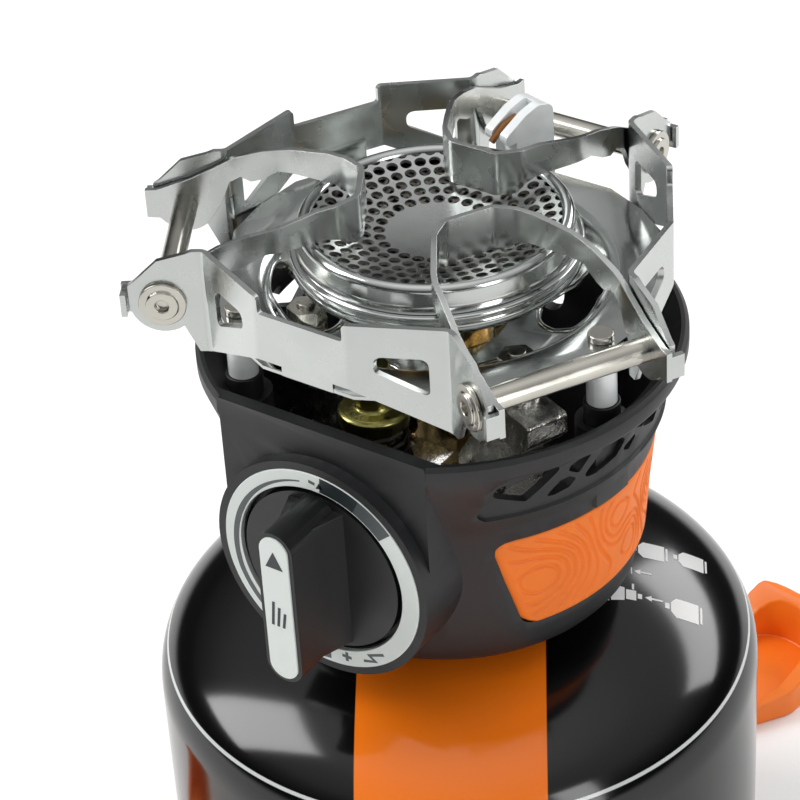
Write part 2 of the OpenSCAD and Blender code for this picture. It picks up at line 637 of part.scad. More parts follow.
// Turns a point given beside a wall, along it and out from it, into the direction of the wall at a
function by_wall(s, n, a) = [n * cos(a) - s * sin(a), n * sin(a) + s * cos(a)];
function by_corner(r, t, a) = by_wall(t, r, a);
// Distance of a wall's slanted part from the axis, to its inner face, at the distance s along the wall
function slant_in(s) = mid_n - (s - mid_s) * (mid_n - bend[1]) / (bend[0] - mid_s) - 0.56 * sheet;
function deck_plan() = [for (i = [0:2]) let (a = 30 + 120 * i) each [by_wall(-mid_s, wall_in - 0.1, a),
  by_wall(mid_s, wall_in - 0.1, a), by_wall(bend[0] - 6, slant_in(bend[0] - 6) - 0.1, a),
  by_corner(deck_corner_r, -deck_corner_t, a + 60), by_corner(deck_corner_r, deck_corner_t, a + 60),
  by_wall(6 - bend[0], slant_in(bend[0] - 6) - 0.1, a + 120)]];
function bowl_top() = [[bowl_r, 0], [bowl_r - 1.4, -0.07 * bowl_h], [bowl_r - 2.8, -0.26 * bowl_h],
  [bowl_r - 4.5, -0.57 * bowl_h], [bowl_r - 7, -0.83 * bowl_h], [bowl_r - 11, -0.97 * bowl_h], [11.6, -bowl_h]];
module deck_opening(a, spread) {
  rotate(a) translate([0, 0, deck_z - bowl_h - 3]) linear_extrude(bowl_h + 2)
    polygon(rounded([[16.5, -spread * 0.6], [28.3, -spread], [28.9, 0], [28.3, spread], [16.5, spread * 0.6]],
      [4, 4, 20, 4, 4]));
}
nut_r = 22.8;
nut_a = 337;
nut_z = deck_z - bowl_h + 1.6;
module deck() {
  color(steel) difference() {
    union() {
      translate([0, 0, deck_z - deck_t]) linear_extrude(deck_t) difference() {
        polygon(deck_plan());
        circle(bowl_r);
      }
      translate([0, 0, deck_z]) rotate_extrude() polygon(concat(bowl_top(),
        [for (p = backwards(bowl_top())) [p[0] + (p[1] < -0.5 && p[0] > 22 ? 0.35 : 0), p[1] - deck_t]]));
      // Tabs that are welded inside the walls, and turned-down lips at the corners
      thirds(30) translate([wall_in - deck_t, -5, deck_z - deck_t])
        cube([deck_t, 10, support_z + wall_low + 2.6 - deck_z + deck_t]);
      thirds(corner_a) translate([deck_corner_r - deck_t, -deck_corner_t + 1, deck_z - lip_h])
        cube([deck_t, 2 * deck_corner_t - 2, lip_h]);
    }
    for (a = [30:60:330]) deck_opening(a, 8.4);
    translate([reg_x, reg_y, deck_z - bowl_h - 3]) cylinder(r = spring_r + 1.4, h = bowl_h + 2);
    thirds(standoff_a) translate([standoff_r, 0, deck_z - 3]) cylinder(r = screw_r + slip_gap, h = 6);
    at_block() translate([-block_w / 2 - 0.1, block_front - 0.1, deck_z - 14])
      cube([block_w + 0.2, block_back - block_front + 0.2, 20]);
  }
}
module arm_nuts() {
  color("#C2BFB4") thirds(nut_a) translate([nut_r, 0, nut_z + 0.02]) {
    difference() {
      cylinder(r = 3.4, h = 2.7, $fn = 6);
      translate([0, 0, -1]) cylinder(r = 1.5, h = 8);
    }
    translate([0, 0, 0.5]) cylinder(r = 1.48, h = 3);
  }
}
post_r = 2.6;
post_z = rim_z - 1.6;
module standoffs() {
  color("#F1F2F0") thirds(standoff_a) translate([standoff_r, 0, 0]) difference() {
    rotate_extrude() polygon([[0, post_z], [post_r - 0.9, post_z], [post_r, post_z + 0.9], [post_r, deck_z - deck_t - 0.02],
      [0, deck_z - deck_t - 0.02]]);
    translate([0, 0, post_z - 1]) cylinder(r = screw_r + slip_gap, h = 30);
  }
}
module standoff_cups() {
  color("#232323") thirds(standoff_a) translate([standoff_r, 0, rim_z - 6.98]) difference() {
    cylinder(r = cup_seat_r - 0.05, h = 6.3);
    translate([0, 0, 5.36]) cylinder(r = post_r + 0.05, h = 3);
    translate([0, 0, -1]) cylinder(r = screw_r + slip_gap, h = 10);
  }
}
module standoff_screws() {
  color(steel) thirds(standoff_a) translate([standoff_r, 0, 0]) {
    translate([0, 0, rim_z - 11.5]) cylinder(r = 1.25, h = deck_z - rim_z + 11.6);
    translate([0, 0, deck_z + 0.02]) cylinder(r = 2.2, h = 1.3);
  }
}
module base_screws() {
  color(steel) thirds(30) translate([screw_ring_r, 0, 0]) {
    translate([0, 0, base_z - 0.7]) cylinder(r = 2.8, h = 1.7);
    translate([0, 0, base_z]) cylinder(r = 1.25, h = 9);
  }
}

// ---------- Ignition ----------
block_x = -1.1;
block_y = 30;
block_turn = -15;
block_front = 25.7;
block_back = 34.5;
block_top = support_z + 16.8;
nose_z = burner_z + 0.5;
block_w = 5.6;
// The block is drawn along Y and stands a little askew
module at_block() {
  translate([block_x, block_y, 0]) rotate(block_turn) translate([0, -block_y, 0]) children();
}
module block_side(grow) {
  polygon(rounded([[block_back - grow, support_z - 5], [block_back - grow, block_top - 1 - grow],
    [31, block_top - grow], [28, block_top - 0.8 - grow], [23 + grow, nose_z + 1.8], [23.6 + grow, nose_z],
    [block_front + grow, nose_z], [block_front + grow, support_z - 5]], [0, 2, 3, 3, 1.2, 0.6, 0, 0]));
}
module electrode_block() {
  color("#ECEFEF") at_block() difference() {
    rotate([90, 0, 90]) translate([0, 0, -block_w / 2]) linear_extrude(block_w) block_side(0);
    difference() {
      rotate([90, 0, 90]) translate([0, 0, -0.9]) linear_extrude(1.8)
        polygon([[20, nose_z - 0.5], [31.6, nose_z - 0.5], [31.6, block_top + 2], [20, block_top + 2]]);
      rotate([90, 0, 90]) translate([0, 0, -block_w]) linear_extrude(2 * block_w) block_side(2.3);
    }
    translate([0, block_y, support_z - 6]) cylinder(r = 1.2, h = 9);
  }
}
module electrode_wire() {
  p = route([[28.2, block_top - 2.1], [25, nose_z + 2.6], [23.4, nose_z + 1.4], [22.3, nose_z + 0.5]],
    [0, 2, 2, 0], 4);
  color("#A9713A") at_block() sweep([for (q = p) [0, q[0], q[1]]], 0.6, 8);
}
igniter_x = -20;
igniter_y = 4;
igniter_top = dial_z + 10;
module igniter() {
  color("#3B3C40") translate([igniter_x, igniter_y, 0]) {
    translate([0, 0, body_base_z + 3.1]) cylinder(r = 4.5, h = igniter_top - body_base_z - 3.1);
    translate([0, 0, igniter_top]) cylinder(r = 1.6, h = 2);
  }
}
// The ignition lead from the igniter to the electrode block
lead_route = [[-20, 4, 125.5], [-20, 4.5, 128.5], [-19.5, 6, 131.5], [-18.5, 9, 134.5], [-17, 13, 137],
  [-14.5, 17, 138.8], [-11.5, 21, 139.8], [-8, 24.5, 140.5], [-4.8, 27.5, 141.3], [-2.4, 29.2, 142.8],
  [-1.3, 29.9, 144.8], [block_x, block_y, 147.4]];
module igniter_lead() {
  rise = base_z - 91.3;
  color("#D8D8D2") sweep([for (q = lead_route) q + [0, 0, rise]], 0.9, 8);
}

// ---------- Pot support ----------
ear_t = ear_span / 2 - sheet / 2;
mid_n = wall_n - sheet / 2;
bend_in_r = 36.9;
// Where a wall's slanted part meets its ear, along and out from the wall
bend = [bend_in_r * sin(60) - ear_t * cos(60), bend_in_r * cos(60) + ear_t * sin(60)];
ear_end = 50.1;
wall_low = 2;
foot_drop = 7.4;
ear_arc_r = 5.6;
tab_gap = 0.35;
bend_r = 1.6;
ear_start = bend_in_r + 0.8;
ear_dir = [sin(60), cos(60)];
// Plan route of half a wall, from its middle out to the start of its ear
wall_half = route([[0, mid_n], [mid_s, mid_n], bend, bend + 1.9 * ear_dir], [0, 2, bend_r, 0]);
// Front view of a wall without its ears, as distance along the wall against height above the base line
module wall_view() {
  out = bend[0] + 4;
  step_s = mid_s - 0.7;
  difference() {
    polygon(rounded([[-out, wall_top], [-out, wall_low - foot_drop], [-bend[0], wall_low - foot_drop],
      [-mid_s, wall_low], [mid_s, wall_low], [bend[0], wall_low - foot_drop], [out, wall_low - foot_drop],
      [out, wall_top], [step_s, wall_top], [step_s, wall_top - mid_step], [-step_s, wall_top - mid_step],
      [-step_s, wall_top]], [0, 0, 0, 0, 0, 0, 0, 0, 0.9, 0.6, 0.6, 0.9]));
    for (s = [0, 1]) mirror([s, 0]) polygon(rounded([[mid_s + 3.8, wall_top - 5.6], [bend[0] - 3, wall_top - 5.6],
      [bend[0] - 3, wall_low - 0.7], [mid_s + 3.8, wall_low + 3.6]], [1.4, 1.4, 0.7, 1.4], 4));
  }
}
// Side view of an ear, as radius from the stove's axis against height above the base line
module ear_view() {
  difference() {
    polygon(concat([[ear_start, wall_top - 0.03], [ear_start, wall_low - foot_drop + 0.03],
      [ear_start + 1.3, wall_low - foot_drop + 0.03]],
      [for (i = [0:12]) let (a = -125 + 125 * i / 12) [pin_r + ear_arc_r * cos(a), pin_rise + ear_arc_r * sin(a)]],
      [[pin_r + ear_arc_r, pin_rise + 3.3], [ear_end - 1.2, pin_rise + 4.1], [pin_r + 0.4, pin_rise + 8],
      [ear_start + 2.4, wall_top - 0.5], [ear_start + 1.3, wall_top - 0.03]]));
    translate([pin_r, pin_rise]) circle(rivet_d / 2 + 0.01);
  }
}
// One wall of the support, its middle facing +Y
module support_wall() {
  path = concat([for (p = backwards(wall_half)) if (p[0] > 0.1) [-p[0], p[1]]], [for (p = wall_half) if (p[0] > 0.1) p]);
  color(steel) {
    intersection() {
      translate([0, 0, support_z - 20]) linear_extrude(60) polygon(strip(path, sheet - 0.04));
      translate([0, 0, support_z]) upright(100) wall_view();
    }
    for (s = [0, 1]) mirror([s, 0, 0]) rotate(30) translate([0, ear_t, support_z]) upright(sheet) ear_view();
  }
}
module wall_front() { rotate(180) support_wall(); }
module wall_right() { rotate(-60) support_wall(); }
module wall_left() { rotate(60) support_wall(); }

washer_r = 4;
washer_t = 0.8;
rivet_head_r = 2.7;
// A tubular rivet with a washer on each end, its axis along Y at radius pin_r
module hinge_rivet() {
  color("#B8B6AE") translate([pin_r, 0, pin_z]) rotate([90, 0, 0]) difference() {
    union() {
      translate([0, 0, -ear_span / 2 - 1.3]) cylinder(r = rivet_d / 2, h = ear_span + 2.6);
      for (s = [-1, 1]) {
        translate([0, 0, s * (ear_span / 2 + washer_t / 2 + 0.02) - washer_t / 2]) cylinder(r = washer_r, h = washer_t);
        translate([0, 0, s * (ear_span / 2 + washer_t + 0.25) - 0.25]) cylinder(r = rivet_head_r, h = 0.5);
      }
    }
    for (s = [-1, 1]) translate([0, 0, s * (ear_span / 2 + 1.3) - 1]) cylinder(r = rivet_d / 2 - 0.35, h = 2);
  }
}
module rivet_left() { rotate(210) hinge_rivet(); }
module rivet_front() { rotate(330) hinge_rivet(); }
module rivet_back() { rotate(90) hinge_rivet(); }

// ---------- Folding loops ----------
loop_ear_t = ear_span / 2 - sheet - 0.25 - sheet / 2;
tab_r = pin_r + ear_arc_r + tab_gap;
tab_len = 4.2;
// Half of a loop's plan: from its ear along the strip to the middle of its tip, as radius and side
function loop_half() = route([[tab_r + sheet, loop_ear_t], [36.5, loop_ear_t], [25.5, loop_ear_t - 1.8], [15.2, loop_ear_t - 7.2],
  [tip_r + sheet / 2, 4.4], [tip_r + sheet / 2, 0]], [0, 12, 14, 5, 2, 0]);
// Side view of the strip: high at the tip, thin over the burner's rim, round at the ear
module loop_view() {
  difference() {
    polygon(concat([[tip_r - 2, tip_top], [18.5, tip_top], [24, tip_top - 1], [30, tip_top - 2], [35, tip_top - 3.6],
      [39, tip_top - 5.8], [43.5, pin_rise + 5], [tab_r - 1, pin_rise + 3], [tab_r + sheet + 1, pin_rise + 2.9],
      [tab_r + sheet + 1, pin_rise - 2.4], [tab_r - 1.2, pin_rise - 2.6]],
      [for (i = [0:8]) let (a = -45 - 95 * i / 8) [pin_r + 5.2 * cos(a), pin_rise + 5.2 * sin(a)]],
      [[38, pin_rise + 0.4], [36.4, pin_rise + 4.4], [34.4, pin_rise + 5.6], [32.6, pin_rise + 4.8], [30.6, pin_rise + 5.4],
      [27.6, pin_rise + 7.2], [17.4, pin_rise + 7.3], [15.4, pin_rise + 6.6], [14, tip_top - 8.1], [tip_r - 2, tip_top - 8.1]]));
    translate([pin_r, pin_rise]) circle(rivet_d / 2 + run_gap);
  }
}
// A loop that points at the stove's axis, its pin along Y
module support_loop() {
  color(steel) {
    intersection() {
      translate([0, 0, support_z - 10]) linear_extrude(40) union() {
        polygon(strip(loop_half(), sheet));
        mirror([0, 1]) polygon(strip(loop_half(), sheet));
      }
      translate([0, 0, support_z]) upright(40) loop_view();
    }
    // Stop tabs wrap round the outer edges of the support's ears
    for (s = [0, 1]) mirror([0, s, 0]) translate([tab_r, loop_ear_t, pin_z - tab_len / 2])
      cube([sheet, ear_span / 2 + washer_t - loop_ear_t + 0.2, tab_len]);
  }
}
module loop_left() { rotate(210) support_loop(); }
module loop_front() { rotate(330) support_loop(); }
module loop_back() { rotate(90) support_loop(); }
module spacer() {
  gap = loop_ear_t - sheet / 2 - 0.02;
  color(steel) translate([pin_r, gap, pin_z]) rotate([90, 0, 0]) tube(spacer_d / 2, rivet_d / 2 + run_gap, 2 * gap);
}
module spacer_left() { rotate(210) spacer(); }
module spacer_front() { rotate(330) spacer(); }
module spacer_back() { rotate(90) spacer(); }

can_shell();
valve_cup();
valve_core();
valve_gasket();
leg_back();
leg_left();
leg_front();
leg_pin();
housing();
grip_right();
grip_left();
dial_ring();
connector();
connector_seal();
base_screws();
valve_body();
spindle();
spindle_seal();
knob();
knob_plate();
regulator_cap();
regulator_spring();
diaphragm();
gas_jet();
mixing_tube();
burner_cup();
flame_plate();
deck();
arm_nuts();
standoffs();
standoff_cups();
standoff_screws();
electrode_block();
electrode_wire();
igniter();
igniter_lead();
wall_front();
wall_right();
wall_left();
rivet_left();
rivet_front();
rivet_back();
loop_left();
loop_front();
loop_back();
spacer_left();
spacer_front();
spacer_back();
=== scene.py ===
"""Upright camping stove: the visible finish of the burner, its folding pot support, canister and stand."""

import json
import math

import bmesh
import bpy
from bpy.props import FloatProperty, FloatVectorProperty, IntProperty, PointerProperty
from mathutils import Matrix, Vector

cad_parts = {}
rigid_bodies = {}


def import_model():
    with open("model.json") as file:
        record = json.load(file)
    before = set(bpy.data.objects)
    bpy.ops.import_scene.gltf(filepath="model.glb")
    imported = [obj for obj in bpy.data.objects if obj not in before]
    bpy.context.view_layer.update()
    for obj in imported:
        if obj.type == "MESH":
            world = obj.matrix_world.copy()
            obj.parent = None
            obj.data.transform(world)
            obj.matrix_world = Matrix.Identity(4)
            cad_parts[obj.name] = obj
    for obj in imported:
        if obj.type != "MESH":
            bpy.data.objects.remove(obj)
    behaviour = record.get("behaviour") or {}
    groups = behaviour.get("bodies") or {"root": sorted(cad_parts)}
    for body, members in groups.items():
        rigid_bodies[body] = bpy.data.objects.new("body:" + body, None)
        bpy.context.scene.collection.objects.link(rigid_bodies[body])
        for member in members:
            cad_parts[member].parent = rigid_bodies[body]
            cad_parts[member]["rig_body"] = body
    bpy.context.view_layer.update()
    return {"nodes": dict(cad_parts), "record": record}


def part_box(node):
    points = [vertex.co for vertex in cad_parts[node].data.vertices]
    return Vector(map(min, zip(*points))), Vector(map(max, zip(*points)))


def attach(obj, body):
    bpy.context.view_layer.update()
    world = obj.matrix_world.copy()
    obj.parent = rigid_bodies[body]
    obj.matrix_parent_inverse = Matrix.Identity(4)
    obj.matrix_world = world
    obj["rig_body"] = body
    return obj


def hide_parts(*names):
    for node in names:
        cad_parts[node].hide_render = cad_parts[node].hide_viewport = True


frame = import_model()

bl_info = {
    "name": "Camping stove",
    "version": (1, 0, 0),
    "blender": (4, 5, 0),
    "location": "View3D > Sidebar > Stove",
    "description": "Finishes the pieces of an upright camping stove",
    "category": "Object",
}

MM = 0.001
MM_PER_METRE = 1000
TURN = 2 * math.pi


def linear(hex_code, alpha=1.0):
    """Turns an sRGB hex value into linear colour."""
    parts = [int(hex_code[i:i + 2], 16) / 255 for i in (1, 3, 5)]
    return tuple(c / 12.92 if c <= 0.04045 else ((c + 0.055) / 1.055) ** 2.4 for c in parts) + (alpha,)


def box_mm(node):
    """The lowest and highest corners of a node, in millimetres."""
    low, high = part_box(node)
    return low / MM, high / MM


# Levels and radii that the visible pieces share with the solids, in millimetres
CAN_LOW, CAN_HIGH = box_mm("can_shell")
CAN_Z = CAN_LOW.z
CAN_R = CAN_HIGH.y
BASE_Z = box_mm("housing")[0].z
RING_LOW, RING_HIGH = box_mm("dial_ring")
DIAL_Z = (RING_LOW.z + RING_HIGH.z) / 2
DIAL_R = (RING_HIGH.z - RING_LOW.z) / 2
DIAL_Y = RING_LOW.y
BURNER_Z = box_mm("flame_plate")[1].z
BURNER_R = box_mm("flame_plate")[1].x
DECK_SHEET = 0.62
DECK_Z = box_mm("standoffs")[1].z + DECK_SHEET
# How far printed marks stand off their face, and the depth of the ink
INK_LIFT = 0.03
INK_DEPTH = 0.02


# ---------- Sizes and colours that a user may change ----------
def colour(name, text, hex_code):
    return FloatVectorProperty(name=name, description=text, subtype="COLOR", size=4, min=0, max=1,
                               default=linear(hex_code))


class StoveSizes(bpy.types.PropertyGroup):
    """Sizes of the stove's visible details"""
    hole: FloatProperty(name="Flame hole", description="Diameter of a hole in the flame plate",
                        default=2.05 * MM, min=1 * MM, max=2.4 * MM, unit="LENGTH", precision=5)
    rings: IntProperty(name="Rings of holes", description="Number of rings of flame holes",
                       default=6, min=1, max=6)
    first_count: IntProperty(name="Holes in the first ring", description="Holes in the smallest ring",
                             default=24, min=8, max=26)
    count_step: IntProperty(name="Holes added per ring", description="Extra holes in each larger ring",
                            default=6, min=0, max=8)
    first_radius: FloatProperty(name="First ring", description="Radius of the smallest ring of holes",
                                default=9.6 * MM, min=7 * MM, max=12 * MM, unit="LENGTH", precision=5)
    ring_step: FloatProperty(name="Ring spacing", description="Distance between rings of holes",
                             default=2.4 * MM, min=2 * MM, max=3 * MM, unit="LENGTH", precision=5)
    relief: FloatProperty(name="Grip relief", description="Height of the wavy lines on the side grips",
                          default=0.35 * MM, min=0, max=0.6 * MM, unit="LENGTH", precision=5)
    sheet_round: FloatProperty(name="Sheet edge", description="Rounding of the edges of the steel sheet",
                               default=0.28 * MM, min=0.02 * MM, max=0.4 * MM, unit="LENGTH", precision=5)
    band: FloatProperty(name="Canister band", description="Width of the painted band down the canister",
                        default=33 * MM, min=10 * MM, max=60 * MM, unit="LENGTH", precision=5)


class StoveColours(bpy.types.PropertyGroup):
    """Colours of the stove's finishes"""
    orange: colour("Orange", "Moulded and painted orange parts", "#F07614")
    housing: colour("Housing", "Black moulded plastic", "#161719")
    lacquer: colour("Lacquer", "Gloss black canister", "#050506")
    steel: colour("Steel", "Stainless sheet", "#C3C6C4")
    print_white: colour("White print", "Scale ring and knob plate", "#DCE2DE")


# ---------- Node and material helpers ----------
def add(tree, kind, inputs=(), **settings):
    """Adds one node with its settings, and gives its inputs values or links."""
    node = tree.nodes.new(kind)
    for key, value in settings.items():
        setattr(node, key, value)
    for key, value in dict(inputs).items():
        socket = node.inputs[key]
        if isinstance(value, bpy.types.NodeSocket):
            tree.links.new(value, socket)
        else:
            socket.default_value = value
    return node


def math_node(tree, operation, a, b=0.0, c=0.0):
    return add(tree, "ShaderNodeMath", {0: a, 1: b, 2: c}, operation=operation).outputs[0]


def finish(name, colour_value, roughness, metallic=0.0, **more):
    """A new material whose uniform values sit on the shader's own sockets."""
    mat = bpy.data.materials.new(name)
    mat.use_nodes = True
    tree = mat.node_tree
    shader = tree.nodes["Principled BSDF"]
    shader.inputs["Base Color"].default_value = tuple(colour_value)
    shader.inputs["Roughness"].default_value = roughness
    shader.inputs["Metallic"].default_value = metallic
    for key, value in more.items():
        shader.inputs[key.replace("_", " ")].default_value = value
    place = add(tree, "ShaderNodeTexCoord").outputs["Object"]
    return mat, tree, shader, place


def noise(tree, place, millimetres, detail=3.0, roughness=0.55):
    """A noise whose features are about that many millimetres across."""
    scale = MM_PER_METRE / millimetres
    inputs = {"Vector": place, "Scale": scale, "Detail": detail, "Roughness": roughness}
    return add(tree, "ShaderNodeTexNoise", inputs)


def ramp(tree, value, low, high, out_low=0.0, out_high=1.0):
    return add(tree, "ShaderNodeMapRange", {0: value, 1: low, 2: high, 3: out_low, 4: out_high}).outputs[0]


def blend_colour(tree, amount, a, b):
    node = add(tree, "ShaderNodeMix", data_type="RGBA")
    for key, value in ((0, amount), (6, a), (7, b)):
        if isinstance(value, bpy.types.NodeSocket):
            tree.links.new(value, node.inputs[key])
        else:
            node.inputs[key].default_value = value
    return node.outputs[2]


def bump(tree, shader, height, strength, millimetres, after=None):
    inputs = {"Height": height, "Strength": strength, "Distance": millimetres * MM}
    if after is not None:
        inputs["Normal"] = after
    node = add(tree, "ShaderNodeBump", inputs)
    tree.links.new(node.outputs[0], shader.inputs["Normal"])
    return node.outputs[0]


def tinted(value, factor):
    """A colour made darker or lighter by a factor."""
    return tuple(min(1, c * factor) for c in value[:3]) + (1.0,)


def mottle(tree, shader, amount, dark, light, low=0.3, high=0.7):
    """Lets the base colour drift between two tones by a noise."""
    tone = blend_colour(tree, ramp(tree, amount, low, high), dark, light)
    tree.links.new(tone, shader.inputs["Base Color"])


def cloud_gloss(tree, shader, amount, smooth, rough, low=0.3, high=0.7):
    """Lets the roughness drift between two values by a noise."""
    tree.links.new(ramp(tree, amount, low, high, smooth, rough), shader.inputs["Roughness"])


MATERIALS = {}


def stainless(name, base, smooth, rough, grain):
    """Rolled stainless sheet: a mirror broken by faint tumbling marks and a cloudy change of gloss."""
    mat, tree, shader, place = finish(name, base, smooth, 1.0)
    cloud = noise(tree, place, 9, 4).outputs[0]
    fine = noise(tree, place, grain, 2).outputs[0]
    cloud_gloss(tree, shader, cloud, smooth, rough, low=0.35)
    mottle(tree, shader, cloud, tinted(base, 0.9), tinted(base, 1.04), high=0.75)
    first = bump(tree, shader, cloud, 0.05, 0.08)
    bump(tree, shader, fine, 0.03, 0.01, first)
    return mat


def plastic(name, base, roughness, grain, depth):
    """Injection moulded plastic: an even colour with a fine spark-eroded grain."""
    mat, tree, shader, place = finish(name, base, roughness, IOR=1.5)
    grit = noise(tree, place, grain, 2).outputs[0]
    cloud = noise(tree, place, 14, 3).outputs[0]
    cloud_gloss(tree, shader, cloud, roughness - 0.05, roughness + 0.06)
    mottle(tree, shader, cloud, tinted(base, 0.94), tinted(base, 1.05))
    bump(tree, shader, grit, depth, 0.06)
    return mat


def machined(name, base, roughness):
    """Turned metal: fine rings left by the tool."""
    mat, tree, shader, place = finish(name, base, roughness, 1.0)
    tool_marks = {"Vector": place, "Scale": 700.0, "Distortion": 2.0, "Detail": 2.0}
    rings = add(tree, "ShaderNodeTexWave", tool_marks, bands_direction="Z").outputs[1]
    cloud = noise(tree, place, 4, 3).outputs[0]
    cloud_gloss(tree, shader, cloud, roughness - 0.06, roughness + 0.12)
    bump(tree, shader, rings, 0.08, 0.04)
    return mat


def cast_zinc():
    """Die-cast zinc: dull grey, lumpy, and brighter where it was tumbled."""
    base = linear("#A5A39E")
    mat, tree, shader, place = finish("die_cast_zinc", base, 0.3, 1.0)
    lumps = noise(tree, place, 3.2, 5, 0.65).outputs[0]
    pits = noise(tree, place, 0.7, 2).outputs[0]
    cloud_gloss(tree, shader, lumps, 0.14, 0.32, low=0.35)
    mottle(tree, shader, lumps, linear("#A8A7A2"), linear("#DEDDD8"), 0.35, 0.65)
    bump(tree, shader, pits, 0.15, 0.08, bump(tree, shader, lumps, 0.6, 0.7))
    return mat


def rubber(name, base, roughness):
    """Moulded rubber: matt, with a faint bloom."""
    mat, tree, shader, place = finish(name, base, roughness, IOR=1.48)
    grit = noise(tree, place, 0.35, 2).outputs[0]
    cloud = noise(tree, place, 11, 3).outputs[0]
    mottle(tree, shader, cloud, tinted(base, 0.93), tinted(base, 1.04))
    bump(tree, shader, grit, 0.15, 0.05)
    return mat


def glazed():
    """Glazed ceramic: white body under a clear gloss, with a slight waviness."""
    glaze = {"IOR": 1.55, "Coat_Weight": 0.8, "Coat_Roughness": 0.06}
    mat, tree, shader, place = finish("glazed_ceramic", linear("#E9EDED"), 0.25, **glaze)
    wave = noise(tree, place, 5, 2).outputs[0]
    mottle(tree, shader, wave, linear("#E2E6E6"), linear("#F0F3F3"))
    bump(tree, shader, wave, 0.15, 0.3)
    return mat


def printed(name, base):
    """Screen print on plastic: flat, slightly glossy, with a faint film texture."""
    mat, tree, shader, place = finish(name, base, 0.32, IOR=1.5)
    film = noise(tree, place, 0.5, 2).outputs[0]
    cloud = noise(tree, place, 6, 2).outputs[0]
    tone = blend_colour(tree, cloud, tinted(base, 0.96), tinted(base, 1.03))
    tree.links.new(tone, shader.inputs["Base Color"])
    bump(tree, shader, film, 0.08, 0.03)
    return mat


def canister_lacquer(colours, sizes):
    """Printed tinplate: gloss black, an orange band down one side, a thin white line round the shoulder."""
    mat, tree, shader, place = finish("printed_tinplate", colours.lacquer, 0.13, IOR=1.48)

    def toward(x, y):
        """Distance from the can's axis along a direction in plan."""
        ways = {0: place, 1: (x, y, 0)}
        return add(tree, "ShaderNodeVectorMath", ways, operation="DOT_PRODUCT").outputs["Value"]

    band_axis = math.radians(-58.5)
    c, s = math.cos(band_axis), math.sin(band_axis)
    parts = add(tree, "ShaderNodeSeparateXYZ", {0: place}).outputs
    out, across = toward(c, s), toward(-s, c)
    half = sizes.band / 2
    edge = 0.08 * MM
    line_z, line_half, line_end = 74.3 * MM, 0.22 * MM, 0.34 * MM
    bare_top, paint_start = (CAN_Z + 2.0) * MM, (CAN_Z + 2.4) * MM
    band = ramp(tree, math_node(tree, "ABSOLUTE", across), half - edge, half + edge, 1, 0)
    facing = ramp(tree, out, 0, edge, 0, 1)
    band = math_node(tree, "MULTIPLY", band, facing)
    line = math_node(tree, "ABSOLUTE", math_node(tree, "SUBTRACT", parts[2], line_z))
    line = ramp(tree, line, line_half, line_end, 1, 0)
    black = blend_colour(tree, line, colours.lacquer, linear("#C9CCCB"))
    painted = blend_colour(tree, band, black, colours.orange)
    bare = ramp(tree, parts[2], bare_top, paint_start, 1, 0)
    tree.links.new(blend_colour(tree, bare, painted, linear("#8E9192")), shader.inputs["Base Color"])
    tree.links.new(bare, shader.inputs["Metallic"])
    peel = noise(tree, place, 1.6, 2).outputs[0]
    bump(tree, shader, peel, 0.03, 0.08)
    return mat


def make_materials(context):
    """Makes every finish once."""
    c, sizes = context.scene.stove_colours, context.scene.stove_sizes
    steel = tuple(c.steel)
    MATERIALS.update(
        # Tumbled AISI 304 sheet of the walls and loops
        sheet=stainless("tumbled_stainless_sheet", steel, 0.2, 0.34, 0.5),
        # Pressed and polished deck, burner cup and rim
        polished=stainless("polished_stainless_pressing", tinted(steel, 0.98), 0.1, 0.24, 0.9),
        # Flame plate, slightly duller than the deck
        plate=stainless("pierced_stainless_plate", steel, 0.24, 0.36, 0.4),
        # Nickel-plated rivets, screws and nuts
        plated=stainless("nickel_plated_steel", linear("#C4C1B8"), 0.16, 0.3, 0.6),
        yellow=stainless("yellow_chromate_steel", linear("#A9A262"), 0.2, 0.36, 0.6),
        spring=stainless("oiled_spring_steel", linear("#4A4642"), 0.25, 0.42, 0.5),
        brass=machined("turned_brass", linear("#C0A878"), 0.22),
        copper=machined("drawn_copper", linear("#8F6440"), 0.3),
        zinc=cast_zinc(),
        housing=plastic("moulded_black_nylon", tuple(c.housing), 0.5, 0.32, 0.25),
        knob=plastic("moulded_black_abs", tinted(c.housing, 0.7), 0.42, 0.4, 0.15),
        orange=plastic("moulded_orange_nylon", tuple(c.orange), 0.42, 0.4, 0.18),
        natural=plastic("natural_nylon", linear("#D9D6CB"), 0.45, 0.4, 0.15),
        grip=rubber("orange_tpe", tuple(c.orange), 0.55),
        black_rubber=rubber("black_nitrile", linear("#19191A"), 0.5),
        silicone=rubber("lead_silicone", linear("#D5D4CD"), 0.45),
        ceramic=glazed(),
        white=printed("white_screen_print", tuple(c.print_white)),
        dark_print=printed("dark_screen_print", linear("#22292C")),
        grey_print=printed("grey_screen_print", linear("#4A5052")),
        label=printed("white_can_print", linear("#D9DBDA")),
        can=canister_lacquer(c, sizes),
    )


# ---------- Mesh helpers; coordinates are in millimetres ----------
def new_piece(name, bm, mat, smooth=35.0, recalc=True):
    """Turns a bmesh in millimetres into an object at the origin."""
    if recalc:
        bmesh.ops.recalc_face_normals(bm, faces=bm.faces)
    me = bpy.data.meshes.new(name)
    bm.to_mesh(me)
    bm.free()
    me.transform(Matrix.Scale(MM, 4))
    me.shade_smooth()
    me.set_sharp_from_angle(angle=math.radians(smooth))
    obj = bpy.data.objects.new(name, me)
    bpy.context.scene.collection.objects.link(obj)
    obj.data.materials.append(MATERIALS[mat] if isinstance(mat, str) else mat)
    return obj


